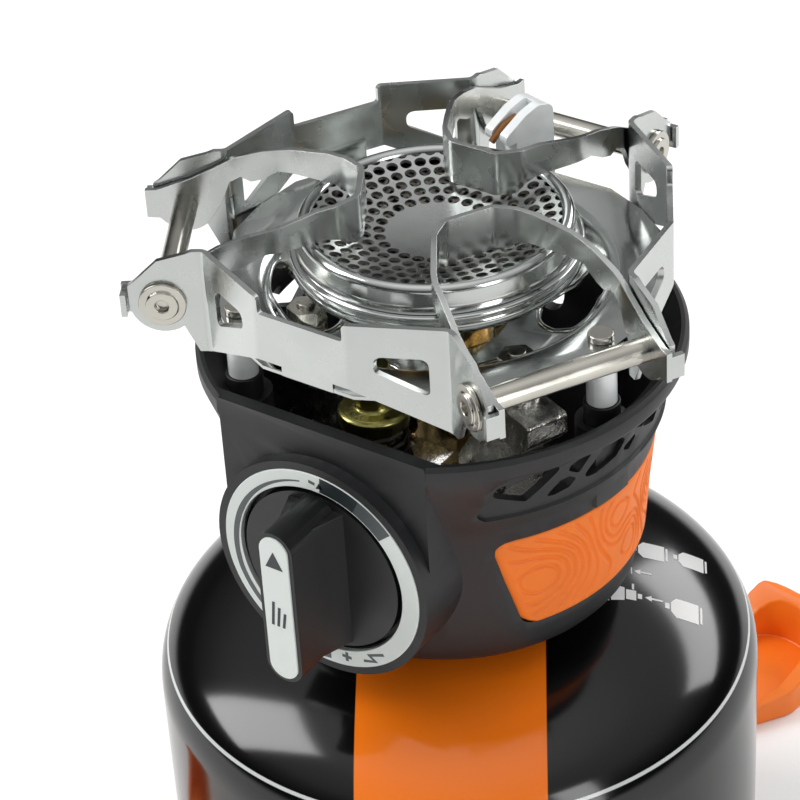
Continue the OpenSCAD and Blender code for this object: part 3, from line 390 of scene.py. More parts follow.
def bevelled(obj, width, segments=2, angle=30.0):
    """Rounds the piece's edges by a width in millimetres."""
    mod = obj.modifiers.new("Edges", "BEVEL")
    mod.width = width * MM
    mod.segments = segments
    mod.limit_method = "ANGLE"
    mod.angle_limit = math.radians(angle)
    mod.use_clamp_overlap = True
    mod.harden_normals = True
    return obj


def cast_of(node, mat, width=0.0, segments=2, angle=30.0, smooth=32.0, flat=0.4):
    """A cleaned copy of a node's shape with its flat faces joined and its edges rounded."""
    src = frame["nodes"][node].data
    bm = bmesh.new()
    bm.from_mesh(src)
    bmesh.ops.transform(bm, matrix=Matrix.Scale(1 / MM, 4), verts=bm.verts)
    bmesh.ops.remove_doubles(bm, verts=bm.verts, dist=0.004)
    bmesh.ops.dissolve_limit(bm, angle_limit=math.radians(flat), verts=bm.verts, edges=bm.edges)
    obj = new_piece(node + "_finish", bm, mat, smooth, recalc=False)
    if width:
        bevelled(obj, width, segments, angle)
    return obj


def settle(obj, body, slot, *nodes):
    """Fixes a finished piece to its body and hides the nodes it stands for."""
    if nodes:
        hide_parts(*nodes)
    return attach(obj, body)


def body_of_node(node):
    return frame["nodes"][node]["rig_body"]


def slot_of_node(node):
    return next(s["material_slot"] for s in frame["record"]["subparts"] if s["node"] == node)


def dress(node, mat, width=0.0, **more):
    """Replaces one node by its cleaned copy in a finish."""
    return settle(cast_of(node, mat, width, **more), body_of_node(node), slot_of_node(node), node)


def paint(node, mat):
    """Gives a hidden or inner node its finish and leaves its shape."""
    obj = frame["nodes"][node]
    obj.data.materials.clear()
    obj.data.materials.append(MATERIALS[mat])
    return obj


def lathe(name, profile, mat, segments=160):
    """A closed body of revolution about the Z axis from points of radius and height."""
    bm = bmesh.new()
    turns = [TURN * i / segments for i in range(segments)]
    rings = []
    for r, z in profile:
        if r < 1e-4:
            rings.append([bm.verts.new((0, 0, z))])
        else:
            rings.append([bm.verts.new((r * math.cos(a), r * math.sin(a), z)) for a in turns])
    for a, b in zip(rings, rings[1:] + rings[:1]):
        if len(a) == 1 and len(b) == 1:
            continue
        for i in range(segments):
            j = (i + 1) % segments
            quad = [a[i % len(a)], a[j % len(a)], b[j % len(b)], b[i % len(b)]]
            quad = [v for k, v in enumerate(quad) if v not in quad[:k]]
            bm.faces.new(quad)
    return new_piece(name, bm, mat, smooth=40.0)


def polar(r, degrees):
    """A point at a radius and an angle."""
    return r * math.cos(math.radians(degrees)), r * math.sin(math.radians(degrees))


def arc(cx, cz, r, start, end, steps):
    """Points of an arc round a centre, its ends included."""
    points = [polar(r, start + (end - start) * i / steps) for i in range(steps + 1)]
    return [(cx + x, cz + z) for x, z in points]


def print_mark(bm, outline, face, lift=0.0):
    """A printed mark on a face toward -Y; its outline is in X and Z from the knob's axis."""
    back = [bm.verts.new((x, face + INK_DEPTH, z + DIAL_Z)) for x, z in outline]
    front = [bm.verts.new((x, face - lift, z + DIAL_Z)) for x, z in outline]
    bm.faces.new(back)
    bm.faces.new(front[::-1])
    n = len(outline)
    for i in range(n):
        bm.faces.new([back[i], front[i], front[(i + 1) % n], back[(i + 1) % n]])


# ---------- Gas canister ----------
# Where the can's straight side ends, how far the dome rises above it and how square its shoulder is
SHOULDER_Z = 67.0
DOME_RISE = 21.9
DOME_POWER = 2.55


def build_canister(context):
    """The printed can, with a rolled rim below and a domed shoulder above."""
    wall = SHOULDER_Z - CAN_Z
    mouth_r, roll_r, dome_steps, side_steps = 16.2, 3.0, 48, 6
    top = (1 - (mouth_r / CAN_R) ** 2) ** (1 / DOME_POWER)
    dome = []
    for i in range(dome_steps + 1):
        u = top * math.sin(math.pi / 2 * i / dome_steps)
        dome.append((CAN_R * math.sqrt(1 - u ** DOME_POWER), CAN_Z + wall + DOME_RISE * u))
    roll = arc(CAN_R - roll_r, CAN_Z + roll_r, roll_r, -90, 0, 8)
    # Radius of the hollow base and its height above the can's lowest edge
    hollow = ((0, 9.4), (12, 9.1), (24, 7.9), (36, 5.0), (44, 2.2), (48.5, 0.6), (50.5, 0.05))
    base = [(r, CAN_Z + rise) for r, rise in hollow]
    side = [(CAN_R, CAN_Z + roll_r + (wall - roll_r) * i / side_steps) for i in range(1, side_steps)]
    outer = base + roll + side + dome
    # The inner skin lies above the base and under the dome
    tin, in_base = 0.5, lambda r, z: r < 49 and z < CAN_Z + 12
    inner = [(max(0.0, r - tin), z + (tin if in_base(r, z) else -0.2)) for r, z in outer[::-1]]
    obj = lathe("canister", outer + inner, "can", segments=192)
    settle(obj, "stove", "painted_can", "can_shell")
    for node, mat in (("valve_cup", "plated"), ("valve_core", "natural"), ("valve_gasket", "black_rubber")):
        paint(node, mat)
    build_pictograms()


def dome_height(r):
    """Height of the dome's outside at a radius."""
    return SHOULDER_Z + DOME_RISE * (1 - (r / CAN_R) ** 2) ** (1 / DOME_POWER)


def build_pictograms():
    """Generic white pictograms of a burner and a can being joined, printed on the dome."""
    bm = bmesh.new()
    c, s = polar(1, 30)
    cell, lift = 0.7, 0.04

    def patch(u0, u1, w0, w1, top=1.0):
        """A printed quadrilateral; its far end is scaled by top."""
        nu, nw = max(1, round((u1 - u0) / cell)), max(1, round((w1 - w0) / cell))
        mid = (w0 + w1) / 2
        grid = []
        for i in range(nu + 1):
            u = u0 + (u1 - u0) * i / nu
            k = 1 + (top - 1) * i / nu
            row = []
            for j in range(nw + 1):
                w = mid + (w0 - mid + (w1 - w0) * j / nw) * k
                x, y = u * c - w * s, u * s + w * c
                row.append(bm.verts.new((x, y, dome_height(math.hypot(x, y)) + lift)))
            grid.append(row)
        for a, b in zip(grid, grid[1:]):
            for j in range(nw):
                bm.faces.new([a[j], b[j], b[j + 1], a[j + 1]])

    def can(u, w, k):
        """A can from the side: valve, shoulder, body and base."""
        patch(u, u + 0.6 * k, w - 0.55 * k, w + 0.55 * k)
        patch(u + 0.8 * k, u + 1.5 * k, w - 0.9 * k, w + 0.9 * k, 2.1)
        patch(u + 1.5 * k, u + 4.6 * k, w - 1.9 * k, w + 1.9 * k)
        patch(u + 4.8 * k, u + 5.1 * k, w - 1.6 * k, w + 1.6 * k)

    def burner(u, w, k):
        """A burner from the side: plate, cup, neck, foot and knob."""
        patch(u, u + 0.5 * k, w - 1.9 * k, w + 1.9 * k)
        patch(u + 0.75 * k, u + 2.6 * k, w - 1.7 * k, w + 1.7 * k, 0.75)
        patch(u + 2.8 * k, u + 4.2 * k, w - 1.0 * k, w + 1.0 * k)
        patch(u + 4.4 * k, u + 5.0 * k, w - 0.5 * k, w + 0.5 * k)
        patch(u + 3.6 * k, u + 3.9 * k, w + 1.2 * k, w + 2.4 * k)

    def arrow(u, w, way):
        """A short arrow that points away from the dome's middle, or toward it."""
        patch(u, u + 2.0, w - 0.22, w + 0.22)
        if way > 0:
            patch(u + 2.0, u + 3.2, w - 0.75, w + 0.75, 0.02)
        else:
            patch(u - 1.2, u, w - 0.015, w + 0.015, 50)

    burner(26.6, 6.6, 1.0)
    can(32.2, 7.4, 1.25)
    can(39.6, 7.6, 1.2)
    arrow(28.4, 0.4, 1)
    arrow(33.6, 0.4, -1)
    patch(31.9, 32.1, -0.5, 1.3)
    burner(27.4, -6.4, 1.3)
    arrow(35.6, -6.4, -1)
    can(38.0, -7.2, 1.3)
    settle(new_piece("can_pictograms", bm, "label"), "stove", "painted_can")


# ---------- Stand ----------
def build_stand(context):
    """The three moulded legs and the rivet they turn on."""
    for node in ("leg_back", "leg_left", "leg_front"):
        dress(node, "orange", 0.7, segments=3)
    dress("leg_pin", "plated", 0.25)


# ---------- Housing ----------
def build_housing(context):
    """The black cup with its flat front, vents and bosses."""
    dress("housing", "housing", 0.35, segments=2, angle=38)
    dress("connector", "brass", 0.2)
    dress("base_screws", "plated", 0.2)
    paint("connector_seal", "black_rubber")


# Knots of the grips' contour pattern: place along and up the grip, half sizes and height
KNOTS = ((-17.0, -1.0, 6.5, 7.0, -2.2),
         (-3.5, 3.5, 4.0, 5.5, 1.3),
         (3.5, -3.0, 3.6, 5.0, -1.5),
         (11.0, 3.0, 3.6, 5.0, 1.6),
         (19.5, -2.0, 4.5, 6.0, -1.5))
# Engraved lines to a rise of one in that pattern, and half the width of a line
LINES_PER_LEVEL = 1.6
LINE_HALF = 0.42


def contour_field(u, v):
    """A rolling surface whose level lines are the grips' pattern."""
    total = 0.15 * u + 0.03 * v + 0.35 * math.sin(0.3 * v + 0.12 * u)
    return total + sum(h * math.exp(-(((u - ku) / su) ** 2 + ((v - kv) / sv) ** 2))
                       for ku, kv, su, sv, h in KNOTS)


def groove_depth(u, v):
    """Depth from 0 to 1 of the engraved lines at a place in millimetres."""
    here, step, least_slope = contour_field(u, v), 0.05, 0.05
    slope = math.hypot(contour_field(u + step, v) - here, contour_field(u, v + step) - here) / step
    away = abs((here * LINES_PER_LEVEL) % 1.0 - 0.5) / (LINES_PER_LEVEL * max(slope, least_slope))
    return max(0.0, 1 - (away / LINE_HALF) ** 2)


def wall_radius(rise):
    """Radius of the housing's side at a height above its base."""
    if rise < 18.7:
        return 34.1 + (rise - 7) / 11.7
    return 35.1 + 1.1 * (rise - 18.7) / 9.8


def build_grips(context):
    """The soft side grips, with a pattern of engraved contour lines."""
    relief = context.scene.stove_sizes.relief / MM
    low, high = box_mm("grip_right")
    z0, z1 = low.z, high.z
    middle, tall_half = (z0 + z1) / 2, (z1 - z0) / 2
    half_low, half_high, corner = 20.0, 26.0, 2.6
    # Depth of the moulding in the wall, how proud it stands, and its rounded edge
    sunk, base_skin, proud, edge_r, plain_edge = 0.95, 0.05, 0.43, 0.9, 0.5
    wide, tall = 260, 108
    for side, node in ((1, "grip_right"), (-1, "grip_left")):
        bm = bmesh.new()
        skins = ([], [])
        for j in range(tall + 1):
            z = middle + (2 * j / tall - 1) * tall_half
            half = half_low + (half_high - half_low) * (z - z0) / (z1 - z0)
            reach = tall_half - abs(z - middle)
            half -= corner - math.sqrt(max(0, corner ** 2 - max(0, corner - reach) ** 2))
            r_wall = wall_radius(z - BASE_Z)
            rows = ([], [])
            for i in range(wide + 1):
                u = 2 * i / wide - 1
                y = u * half
                edge = min(reach, half * (1 - abs(u)))
                shoulder = math.sqrt(max(0.0, 1 - (1 - min(1.0, edge / edge_r)) ** 2))
                cut = relief * groove_depth(y, z - middle) * min(1.0, max(0.0, edge - plain_edge))
                for row, r in zip(rows, (r_wall + base_skin + proud * shoulder - cut, r_wall - sunk)):
                    row.append(bm.verts.new((side * math.sqrt(max(0, r * r - y * y)), y, z)))
            for skin, row in zip(skins, rows):
                skin.append(row)
        for rows in skins:
            for a, b in zip(rows, rows[1:]):
                for i in range(wide):
                    bm.faces.new([a[i], a[i + 1], b[i + 1], b[i]])
        outer, inner = skins
        for k in (0, tall):
            for i in range(wide):
                bm.faces.new([outer[k][i], outer[k][i + 1], inner[k][i + 1], inner[k][i]])
        for k in (0, wide):
            for j in range(tall):
                bm.faces.new([outer[j][k], outer[j + 1][k], inner[j + 1][k], inner[j][k]])
        obj = new_piece(node + "_moulding", bm, "grip", smooth=50)
        settle(obj, "stove", "orange_rubber", node)


# ---------- Dial and knob ----------
def sector(r0, r1, a0, a1):
    """Outline of a part of a ring, anticlockwise from the +X direction."""
    return arc(0, 0, r1, a0, a1, 24) + arc(0, 0, r0, a1, a0, 24)


def swoosh_outline():
    """A thin arc round the scale ring's left side that grows from its upper end."""
    start, sweep, steps = 99, 125, 48
    radius, dip, thin, swell = 17.75, 0.55, 0.12, 0.42
    outer, inner = [], []
    for i in range(steps + 1):
        turn = start + sweep * i / steps
        half = thin + swell * min(1, i / (0.45 * steps))
        r = radius - dip * math.sin(math.pi * min(1.0, i / (0.8 * steps)))
        outer.append(polar(r + half, turn))
        inner.append(polar(r - half, turn))
    return outer + inner[::-1]


def build_dial(context):
    """The white scale ring with its generic marks."""
    dress("dial_ring", "white", 0.12)
    face = DIAL_Y - INK_LIFT
    band_in, band_out = DIAL_R - 3.0, DIAL_R - 0.05
    dark, grey = bmesh.new(), bmesh.new()
    print_mark(dark, sector(band_in, band_out, 63, 86), face)
    print_mark(grey, sector(band_in, band_out, 41, 63), face)
    print_mark(grey, swoosh_outline(), face)
    print_mark(grey, [(-1.0, 17.9), (0.25, 17.7), (0.35, 18.3), (-0.9, 18.5)], face)
    print_mark(dark, [(0.45, 17.2), (1.9, 17.35), (1.2, 18.5)], face)
    print_mark(grey, [(0.8, -16.7), (0.75, -18.9), (-1.5, -19.2)], face)
    # The plus; its two bars end at slightly different heights, so that they don't share a face
    x, z, long, short = 4.1, -17.2, 1.9, 0.6
    for w, h in ((long, short), (short, long)):
        bar = [(x + i * w / 2, z + j * h / 2) for i, j in ((-1, -1), (1, -1), (1, 1), (-1, 1))]
        print_mark(grey, bar, face, lift=0.005 * w)
    zigzag = [(7.6, -16.9), (10.6, -15.9), (9.3, -15.0), (12.0, -13.9),
              (11.7, -13.4), (8.3, -14.9), (9.5, -15.8), (7.6, -16.3)]
    print_mark(grey, zigzag, face)
    settle(new_piece("dial_marks_dark", dark, "dark_print"), "stove", "black_plastic")
    settle(new_piece("dial_marks_grey", grey, "grey_print"), "stove", "black_plastic")


def build_knob(context):
    """The knob, its pointer plate and the spindle."""
    dress("knob", "knob", 0.45, segments=3)
    dress("knob_plate", "white", 0.1)
    face = box_mm("knob_plate")[0].y - INK_LIFT
    marks = bmesh.new()
    print_mark(marks, [(-1.75, 8.6), (1.75, 8.6), (0, 12.0)], face)
    foot_z, bar_w, lean = -3.6, 0.55, 0.5
    for k in range(3):
        x, top = -1.6 + 1.1 * k, 1.4 - 0.9 * k
        print_mark(marks, [(x, foot_z), (x + bar_w, foot_z), (x + bar_w + lean, top), (x + lean, top)], face)
    settle(new_piece("knob_marks", marks, "dark_print"), "knob", "black_plastic")
    paint("spindle", "brass")
    paint("spindle_seal", "black_rubber")


# ---------- Valve and gas path ----------
def build_valve(context):
    """The die-cast valve body with its regulator, jet and mixing tube."""
    dress("valve_body", "zinc", 0.5, segments=3)
    dress("regulator_cap", "yellow", 0.2)
    dress("mixing_tube", "brass", 0.3)
    dress("gas_jet", "brass", 0.15)
    dress("arm_nuts", "plated", 0.25)
    paint("regulator_spring", "spring")
    paint("diaphragm", "black_rubber")


# ---------- Burner ----------
def hole_tree(mat):
    """Geometry Nodes: pierces a plate with rings of round holes."""
    tree = bpy.data.node_groups.new("Pierced rings", "GeometryNodeTree")
    face = tree.interface
    face.new_socket("Plate", in_out="INPUT", socket_type="NodeSocketGeometry")
    for name in ("Rings", "First count", "Count step"):
        face.new_socket(name, in_out="INPUT", socket_type="NodeSocketInt")
    for name in ("First radius", "Ring spacing", "Hole diameter", "Height", "Depth"):
        face.new_socket(name, in_out="INPUT", socket_type="NodeSocketFloat")
    face.new_socket("Geometry", in_out="OUTPUT", socket_type="NodeSocketGeometry")
    inp = add(tree, "NodeGroupInput").outputs
    rings, n0, dn = inp["Rings"], inp["First count"], inp["Count step"]

    def m(op, a, b=0.0):
        return math_node(tree, op, a, b)

    pairs = m("DIVIDE", m("MULTIPLY", rings, m("SUBTRACT", rings, 1)), 2)
    total = m("ADD", m("MULTIPLY", rings, n0), m("MULTIPLY", dn, pairs))
    points = add(tree, "GeometryNodePoints", {"Count": total}).outputs[0]
    index = add(tree, "GeometryNodeInputIndex").outputs[0]
    lead = m("SUBTRACT", m("MULTIPLY", n0, 2), dn)
    inside = m("MULTIPLY", m("MULTIPLY", dn, 8), m("ADD", index, 0.01))
    root = m("SQRT", m("ADD", m("MULTIPLY", lead, lead), inside))
    ring = m("FLOOR", m("DIVIDE", m("SUBTRACT", root, lead), m("MULTIPLY", dn, 2)))
    extra = m("DIVIDE", m("MULTIPLY", ring, m("SUBTRACT", ring, 1)), 2)
    before = m("ADD", m("MULTIPLY", ring, n0), m("MULTIPLY", dn, extra))
    count = m("ADD", n0, m("MULTIPLY", ring, dn))
    # Each ring starts a little further round, so that the holes don't line up
    step = m("ADD", m("SUBTRACT", index, before), m("MULTIPLY", ring, 0.37))
    angle = m("MULTIPLY", m("DIVIDE", step, count), TURN)
    radius = m("ADD", inp["First radius"], m("MULTIPLY", ring, inp["Ring spacing"]))
    x, y = m("MULTIPLY", radius, m("COSINE", angle)), m("MULTIPLY", radius, m("SINE", angle))
    where = add(tree, "ShaderNodeCombineXYZ", {0: x, 1: y, 2: inp["Height"]}).outputs[0]
    placed = add(tree, "GeometryNodeSetPosition", {"Geometry": points, "Position": where}).outputs[0]
    tool = {"Vertices": 20, "Radius": m("DIVIDE", inp["Hole diameter"], 2), "Depth": inp["Depth"]}
    punch = add(tree, "GeometryNodeMeshCylinder", tool).outputs[0]
    punches = add(tree, "GeometryNodeInstanceOnPoints", {"Points": placed, "Instance": punch}).outputs[0]
    punches = add(tree, "GeometryNodeRealizeInstances", {0: punches}).outputs[0]
    meshes = {"Mesh 1": inp["Plate"], "Mesh 2": punches}
    cut = add(tree, "GeometryNodeMeshBoolean", meshes, operation="DIFFERENCE", solver="EXACT").outputs[0]
    real = add(tree, "GeometryNodeRealizeInstances", {0: cut}).outputs[0]
    done = add(tree, "GeometryNodeSetMaterial", {"Geometry": real, "Material": mat}).outputs[0]
    add(tree, "NodeGroupOutput", {0: done})
    return tree


def grown(obj, tree, values):
    """Runs a node tree on an object and keeps the result as a plain mesh."""
    mod = obj.modifiers.new("Tree", "NODES")
    mod.node_group = tree
    ids = {item.name: item.identifier for item in tree.interface.items_tree if item.in_out == "INPUT"}
    for name, value in values.items():
        mod[ids[name]] = value
    deps = bpy.context.evaluated_depsgraph_get()
    mesh = bpy.data.meshes.new_from_object(obj.evaluated_get(deps), depsgraph=deps)
    obj.modifiers.remove(mod)
    obj.data = mesh
    return obj


def dish(r):
    """Height of the flame plate's upper face at a radius."""
    return BURNER_Z - 0.7 - 3.2 * (1 - (r / 21.8) ** 2)


def build_burner(context):
    """The pressed burner cup and the dished plate pierced with rings of flame holes."""
    sizes = context.scene.stove_sizes
    sheet, steps = 0.6, 14
    r_in = BURNER_R - 1.9
    top = [(r_in * i / steps, dish(r_in * i / steps)) for i in range(steps + 1)]
    under = [(r, z - sheet) for r, z in top[::-1]]
    plate = lathe("flame_plate_pierced", top + under, "plate", segments=128)
    values = {"Rings": sizes.rings, "First count": sizes.first_count, "Count step": sizes.count_step,
              "First radius": sizes.first_radius, "Ring spacing": sizes.ring_step,
              "Hole diameter": sizes.hole, "Height": (BURNER_Z - 2.4) * MM, "Depth": 12 * MM}
    grown(plate, hole_tree(MATERIALS["plate"]), values)
    plate.data.shade_smooth()
    plate.data.set_sharp_from_angle(angle=math.radians(35))
    settle(plate, "stove", "stainless", "flame_plate")
    build_rim(r_in)
    build_cup()
    build_gauze_and_shade()


def build_rim(r_in):
    """The rolled bead round the flame plate."""
    bead_r = 1.15
    bead = BURNER_R - bead_r
    outside = ((0, 3.4), (0.1, 4.3), (0.5, 4.75), (-0.4, 4.9), (-0.6, 1.6))
    rim = [(r_in - 0.1, dish(r_in) - 0.1)] + arc(bead, BURNER_Z - bead_r, bead_r, 165, 0, 12)
    rim += [(BURNER_R + out, BURNER_Z - drop) for out, drop in outside]
    rim += [(bead, BURNER_Z - 0.9), (r_in + 0.1, dish(r_in) - 0.7)]
    settle(lathe("burner_rim", rim, "polished"), "stove", "stainless")


def build_cup():
    """The pressed cup under the flame plate, with a seam round its upper edge."""
    shell = BURNER_R + 1.5
    low = BURNER_Z - 8.4
    seam = BURNER_Z - 4.9
    neck = BURNER_Z - 14.5
    cup = [(8.1, neck - 3), (8.1, neck + 1), (12, neck + 2.4), (21, low + 0.2)]
    cup += [(shell - 0.7, low + 1.5), (shell - 0.7, seam - 0.6), (BURNER_R - 0.2, seam - 0.6)]
    cup += [(BURNER_R - 0.2, seam + 0.05), (shell - 0.5, seam + 0.05)]
    cup += arc(shell - 0.45, seam - 0.4, 0.45, 90, 0, 5)
    cup += [(shell, seam - 1.1), (shell - 0.22, seam - 1.35)]
    cup += [(shell - 0.05, seam - 1.6), (shell - 0.05, low + 1.3)]
    cup += arc(shell - 1.25, low + 1.0, 1.2, 0, -80, 6)
    cup += [(21.4, low - 0.6), (16, neck + 3.2), (12.4, neck + 1.4), (8.8, neck + 0.5), (8.7, neck - 3)]
    settle(lathe("burner_cup_pressing", cup, "polished"), "stove", "stainless", "burner_cup")


def build_gauze_and_shade():
    """A woven gauze that lies under the plate and darkens the holes; its dark gaps are painted shade of the
    cup below.
    """
    drops = ((0, 2.4), (9, 2.4), (15, 2.4), (21.6, 2.6), (21.6, 2.9), (15, 2.7), (9, 2.7), (0, 2.7))
    gauze = [(r, dish(r) - drop) for r, drop in drops]
    settle(lathe("burner_gauze_painted_shade", gauze, gauze_and_shade_material(), segments=96), "stove", "stainless")


def gauze_and_shade_material():
    """Woven wire gauze: bright crossing wires, drawn coarser than real ones, with dark gaps that are painted
    shade of the cup below.
    """
    mat, tree, shader, place = finish("woven_wire_gauze_painted_shade", linear("#8E8A84"), 0.35, 1.0)
    inputs = {"Vector": place, "Scale": MM_PER_METRE / 0.8 / TURN, "Distortion": 0.0}
    along_x, along_y = (add(tree, "ShaderNodeTexWave", inputs, bands_direction=way).outputs[1]
                        for way in ("X", "Y"))
    mesh = math_node(tree, "MAXIMUM", along_x, along_y)
    # The dark tone is painted shade between the wires, not a colour of the gauze
    mottle(tree, shader, mesh, linear("#141312"), linear("#A39E97"), 0.6, 0.85)
    bump(tree, shader, mesh, 0.6, 0.2)
    return mat


# ---------- Deck and standoffs ----------
def build_deck(context):
    """The polished deck, its standoffs, their rubber cups and screws."""
    dress("deck", "polished", 0.14, angle=35)
    build_lips()
    dress("standoffs", "ceramic", 0.3)
    dress("standoff_cups", "black_rubber", 0.3)
    dress("standoff_screws", "plated", 0.25)


def bowl_height(r):
    """Height of the deck's upper face at a radius."""
    depth = 9.8
    # Radii, with the share of the bowl's depth reached at each
    steps = ((11.6, 1.0), (20, 0.97), (24, 0.83), (26.5, 0.57),
             (28.2, 0.26), (29.6, 0.07), (31, 0.0), (40, 0.0))
    for (r0, a), (r1, b) in zip(steps, steps[1:]):
        if r <= r1:
            return DECK_Z - depth * (a + (b - a) * max(0, r - r0) / (r1 - r0))
    return DECK_Z


def build_lips():
    """Rolled lips round the deck's openings."""
    bm = bmesh.new()
    openings, sides, steps = 6, 10, 72
    # Middle of an opening, half its length and width, how its outer end widens, and its squareness
    mid_r, half_long, half_wide, widen, power = 22.8, 6.1, 6.9, 1.9, 0.75
    lip_r, sunk = 0.5, 0.1
    for k in range(openings):
        c, s = polar(1, 30 + 60 * k)
        path = []
        for i in range(steps):
            a = TURN * i / steps
            ca, sa = (math.copysign(abs(v) ** power, v) for v in (math.cos(a), math.sin(a)))
            x, y = mid_r + half_long * ca, (half_wide + widen * ca) * sa
            path.append(Vector((x, y, bowl_height(math.hypot(x, y)) - sunk)))
        rings = []
        for i, here in enumerate(path):
            along = (path[(i + 1) % steps] - path[i - 1]).normalized()
            out = along.cross(Vector((0, 0, 1))).normalized()
            up = out.cross(along)
            ring = []
            for j in range(sides):
                b = TURN * j / sides
                q = here + lip_r * (out * math.cos(b) + up * math.sin(b))
                ring.append(bm.verts.new((q.x * c - q.y * s, q.x * s + q.y * c, q.z)))
            rings.append(ring)
        for i in range(steps):
            a, b = rings[i], rings[(i + 1) % steps]
            for j in range(sides):
                bm.faces.new([a[j], a[(j + 1) % sides], b[(j + 1) % sides], b[j]])
    settle(new_piece("deck_lips", bm, "polished", smooth=80), "stove", "stainless")


# ---------- Ignition ----------
def build_ignition(context):
    """The electrode in its ceramic block, the igniter and its lead."""
    dress("electrode_block", "ceramic", 0.6, segments=4)
    dress("igniter", "knob", 0.3)
    paint("electrode_wire", "copper")
    paint("igniter_lead", "silicone")


# ---------- Pot support ----------
def build_walls(context):
    """The three bent walls of the support and the rivets through their ears."""
    width = context.scene.stove_sizes.sheet_round / MM
    for name in ("front", "right", "left"):
        dress("wall_" + name, "sheet", width, angle=35)
    for name in ("left", "front", "back"):
        dress("rivet_" + name, "plated", 0.2)


def build_loops(context):
    """The three folding loops and the spacer tubes between their ears."""
    width = context.scene.stove_sizes.sheet_round / MM
    for name in ("left", "front", "back"):
        dress("loop_" + name, "sheet", width, angle=35)
        dress("spacer_" + name, "plated", 0.0)


# ---------- Stage ----------
STOVE_MIDDLE = Vector((0, 0, 0.1))


def area_light(name, place, size, power):
    """A rectangular soft box that faces the stove; places are in metres and power in watts."""
    data = bpy.data.lights.new(name, "AREA")
    data.shape = "RECTANGLE"
    data.size, data.size_y = size
    data.energy = power
    obj = bpy.data.objects.new(name, data)
    bpy.context.scene.collection.objects.link(obj)
    obj.location = place
    obj.rotation_euler = (STOVE_MIDDLE - Vector(place)).to_track_quat("-Z", "Y").to_euler()


def build_floor():
    """A white paper floor just under the stove."""
    bm = bmesh.new()
    floor_half, gap = 3000, 0.05
    bmesh.ops.create_grid(bm, x_segments=1, y_segments=1, size=floor_half)
    bmesh.ops.translate(bm, vec=(0, 0, -gap), verts=bm.verts)
    paper, tree, shader, place = finish("matt_white_paper", linear("#F7F7F6"), 0.9)
    fibre = noise(tree, place, 0.6, 2).outputs[0]
    tone = blend_colour(tree, fibre, linear("#F4F4F3"), linear("#FAFAF9"))
    tree.links.new(tone, shader.inputs["Base Color"])
    floor = new_piece("floor", bm, paper)


def build_room(context):
    """A white backdrop, and a room that is dark at eye level for the steel to mirror."""
    world = bpy.data.worlds.new("studio")
    context.scene.world = world
    world.use_nodes = True
    tree = world.node_tree
    sky = tree.nodes["Background"]
    way = add(tree, "ShaderNodeTexCoord").outputs["Generated"]
    up = add(tree, "ShaderNodeSeparateXYZ", {0: way}).outputs[2]
    room = add(tree, "ShaderNodeValToRGB", {0: ramp(tree, up, -1, 1)})
    # Places from straight down (0) to straight up (1), with the brightness there
    stops = ((0.0, 0.8), (0.46, 0.4), (0.5, 0.02), (0.62, 0.04),
             (0.72, 0.2), (0.8, 0.45), (0.9, 0.62), (1.0, 1.1))
    bar = room.color_ramp
    bar.elements[0].position, bar.elements[1].position = stops[0][0], stops[-1][0]
    for place_on_bar, level in stops[1:-1]:
        bar.elements.new(place_on_bar)
    for stop, (place_on_bar, level) in zip(bar.elements, stops):
        stop.color = (level, level, level, 1)
    seen = add(tree, "ShaderNodeLightPath").outputs["Is Camera Ray"]
    tree.links.new(blend_colour(tree, seen, room.outputs[0], (1, 1, 1, 1)), sky.inputs["Color"])
    sky.inputs["Strength"].default_value = 1.0


def build_camera(context):
    """The camera, from above and to the right of the front."""
    data = bpy.data.cameras.new("camera")
    data.sensor_width = 36
    data.lens = 133.7733
    data.clip_start, data.clip_end = 0.01, 100
    cam = bpy.data.objects.new("camera", data)
    context.scene.collection.objects.link(cam)
    place = Vector((241.34, -348.58, 421.57)) * MM
    right, up, back = (0.8313, 0.5532, -0.0528), (-0.2824, 0.5023, 0.8172), (0.4786, -0.6645, 0.5738)
    turn = Matrix((right, up, back)).transposed().to_4x4()
    cam.matrix_world = Matrix.Translation(place) @ turn
    context.scene.camera = cam


def build_stage(context):
    """A pale floor, soft boxes and the camera."""
    build_floor()
    build_room(context)
    area_light("key_softbox", (-0.75, -0.35, 0.75), (0.45, 0.7), 8.5)
    area_light("fill_softbox", (0.85, -0.25, 0.35), (0.22, 0.6), 2.6)
    area_light("back_softbox", (0.25, 0.9, 0.6), (0.8, 0.3), 5.0)
    build_camera(context)
    context.scene.view_settings.view_transform = "Standard"


# ---------- Operators ----------
class StoveStep(bpy.types.Operator):
    bl_options = {"REGISTER", "UNDO"}
    build = None

    def execute(self, context):
        if not MATERIALS:
            make_materials(context)
        type(self).build(context)
        return {"FINISHED"}


class STOVE_OT_stage(StoveStep):
    """Adds the floor, lights and camera"""
    bl_idname, bl_label, build = "stove.stage", "Stage", staticmethod(build_stage)


class STOVE_OT_canister(StoveStep):
    """Finishes the gas canister"""
    bl_idname, bl_label, build = "stove.canister", "Canister", staticmethod(build_canister)


class STOVE_OT_stand(StoveStep):
    """Finishes the folding stand"""
    bl_idname, bl_label, build = "stove.stand", "Stand", staticmethod(build_stand)


class STOVE_OT_housing(StoveStep):
    """Finishes the housing"""
    bl_idname, bl_label, build = "stove.housing", "Housing", staticmethod(build_housing)


class STOVE_OT_grips(StoveStep):
    """Makes the side grips"""
    bl_idname, bl_label, build = "stove.grips", "Side grips", staticmethod(build_grips)


class STOVE_OT_dial(StoveStep):
    """Finishes the scale ring"""
    bl_idname, bl_label, build = "stove.dial", "Scale ring", staticmethod(build_dial)


class STOVE_OT_knob(StoveStep):
    """Finishes the knob"""
    bl_idname, bl_label, build = "stove.knob", "Knob", staticmethod(build_knob)


class STOVE_OT_valve(StoveStep):
    """Finishes the valve and the gas path"""
    bl_idname, bl_label, build = "stove.valve", "Valve", staticmethod(build_valve)


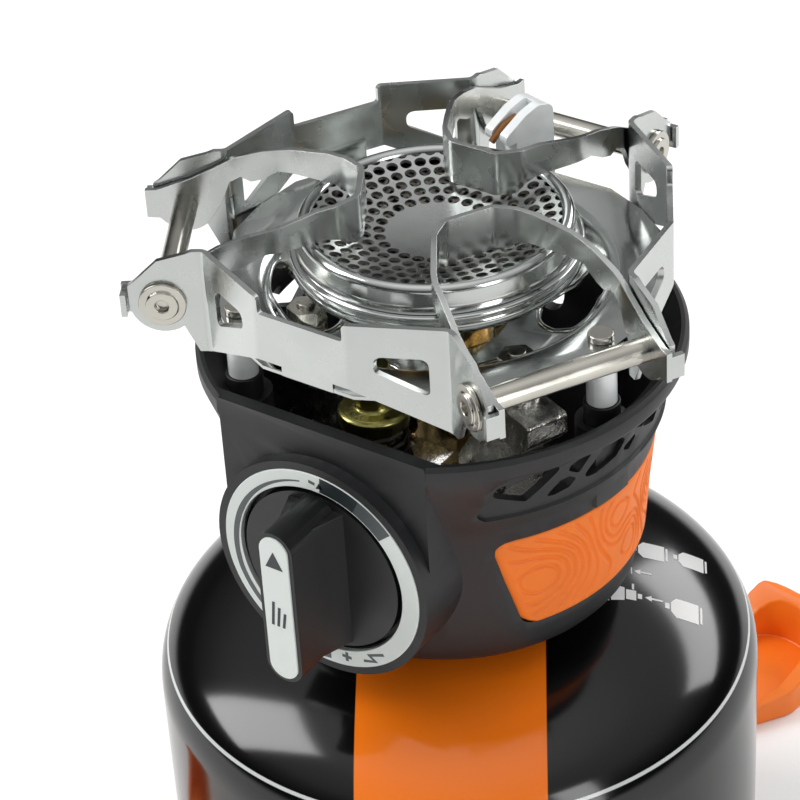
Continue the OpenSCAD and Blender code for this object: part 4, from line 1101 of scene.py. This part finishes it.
class STOVE_OT_burner(StoveStep):
    """Makes the burner with its pierced plate"""
    bl_idname, bl_label, build = "stove.burner", "Burner", staticmethod(build_burner)


class STOVE_OT_deck(StoveStep):
    """Finishes the deck and its standoffs"""
    bl_idname, bl_label, build = "stove.deck", "Deck", staticmethod(build_deck)


class STOVE_OT_ignition(StoveStep):
    """Finishes the electrode and igniter"""
    bl_idname, bl_label, build = "stove.ignition", "Ignition", staticmethod(build_ignition)


class STOVE_OT_walls(StoveStep):
    """Finishes the support's walls"""
    bl_idname, bl_label, build = "stove.walls", "Support walls", staticmethod(build_walls)


class STOVE_OT_loops(StoveStep):
    """Finishes the folding loops"""
    bl_idname, bl_label, build = "stove.loops", "Folding loops", staticmethod(build_loops)


STEPS = (STOVE_OT_stage, STOVE_OT_canister, STOVE_OT_stand, STOVE_OT_housing, STOVE_OT_grips,
         STOVE_OT_dial, STOVE_OT_knob, STOVE_OT_valve, STOVE_OT_burner, STOVE_OT_deck,
         STOVE_OT_ignition, STOVE_OT_walls, STOVE_OT_loops)


class STOVE_PT_panel(bpy.types.Panel):
    """Lists the stove's sizes, colours and steps"""
    bl_label, bl_space_type, bl_region_type, bl_category = "Camping stove", "VIEW_3D", "UI", "Stove"

    def draw(self, context):
        for group in (context.scene.stove_sizes, context.scene.stove_colours):
            for key in group.__annotations__:
                self.layout.prop(group, key)
        for step in STEPS:
            self.layout.operator(step.bl_idname)


CLASSES = (StoveSizes, StoveColours) + STEPS + (STOVE_PT_panel,)


def register():
    for cls in CLASSES:
        bpy.utils.register_class(cls)
    bpy.types.Scene.stove_sizes = PointerProperty(type=StoveSizes)
    bpy.types.Scene.stove_colours = PointerProperty(type=StoveColours)


def unregister():
    del bpy.types.Scene.stove_sizes
    del bpy.types.Scene.stove_colours
    for cls in reversed(CLASSES):
        bpy.utils.unregister_class(cls)


def main():
    register()
    for step in STEPS:
        family, name = step.bl_idname.split(".")
        getattr(getattr(bpy.ops, family), name)()


if __name__ == "__main__":
    main()
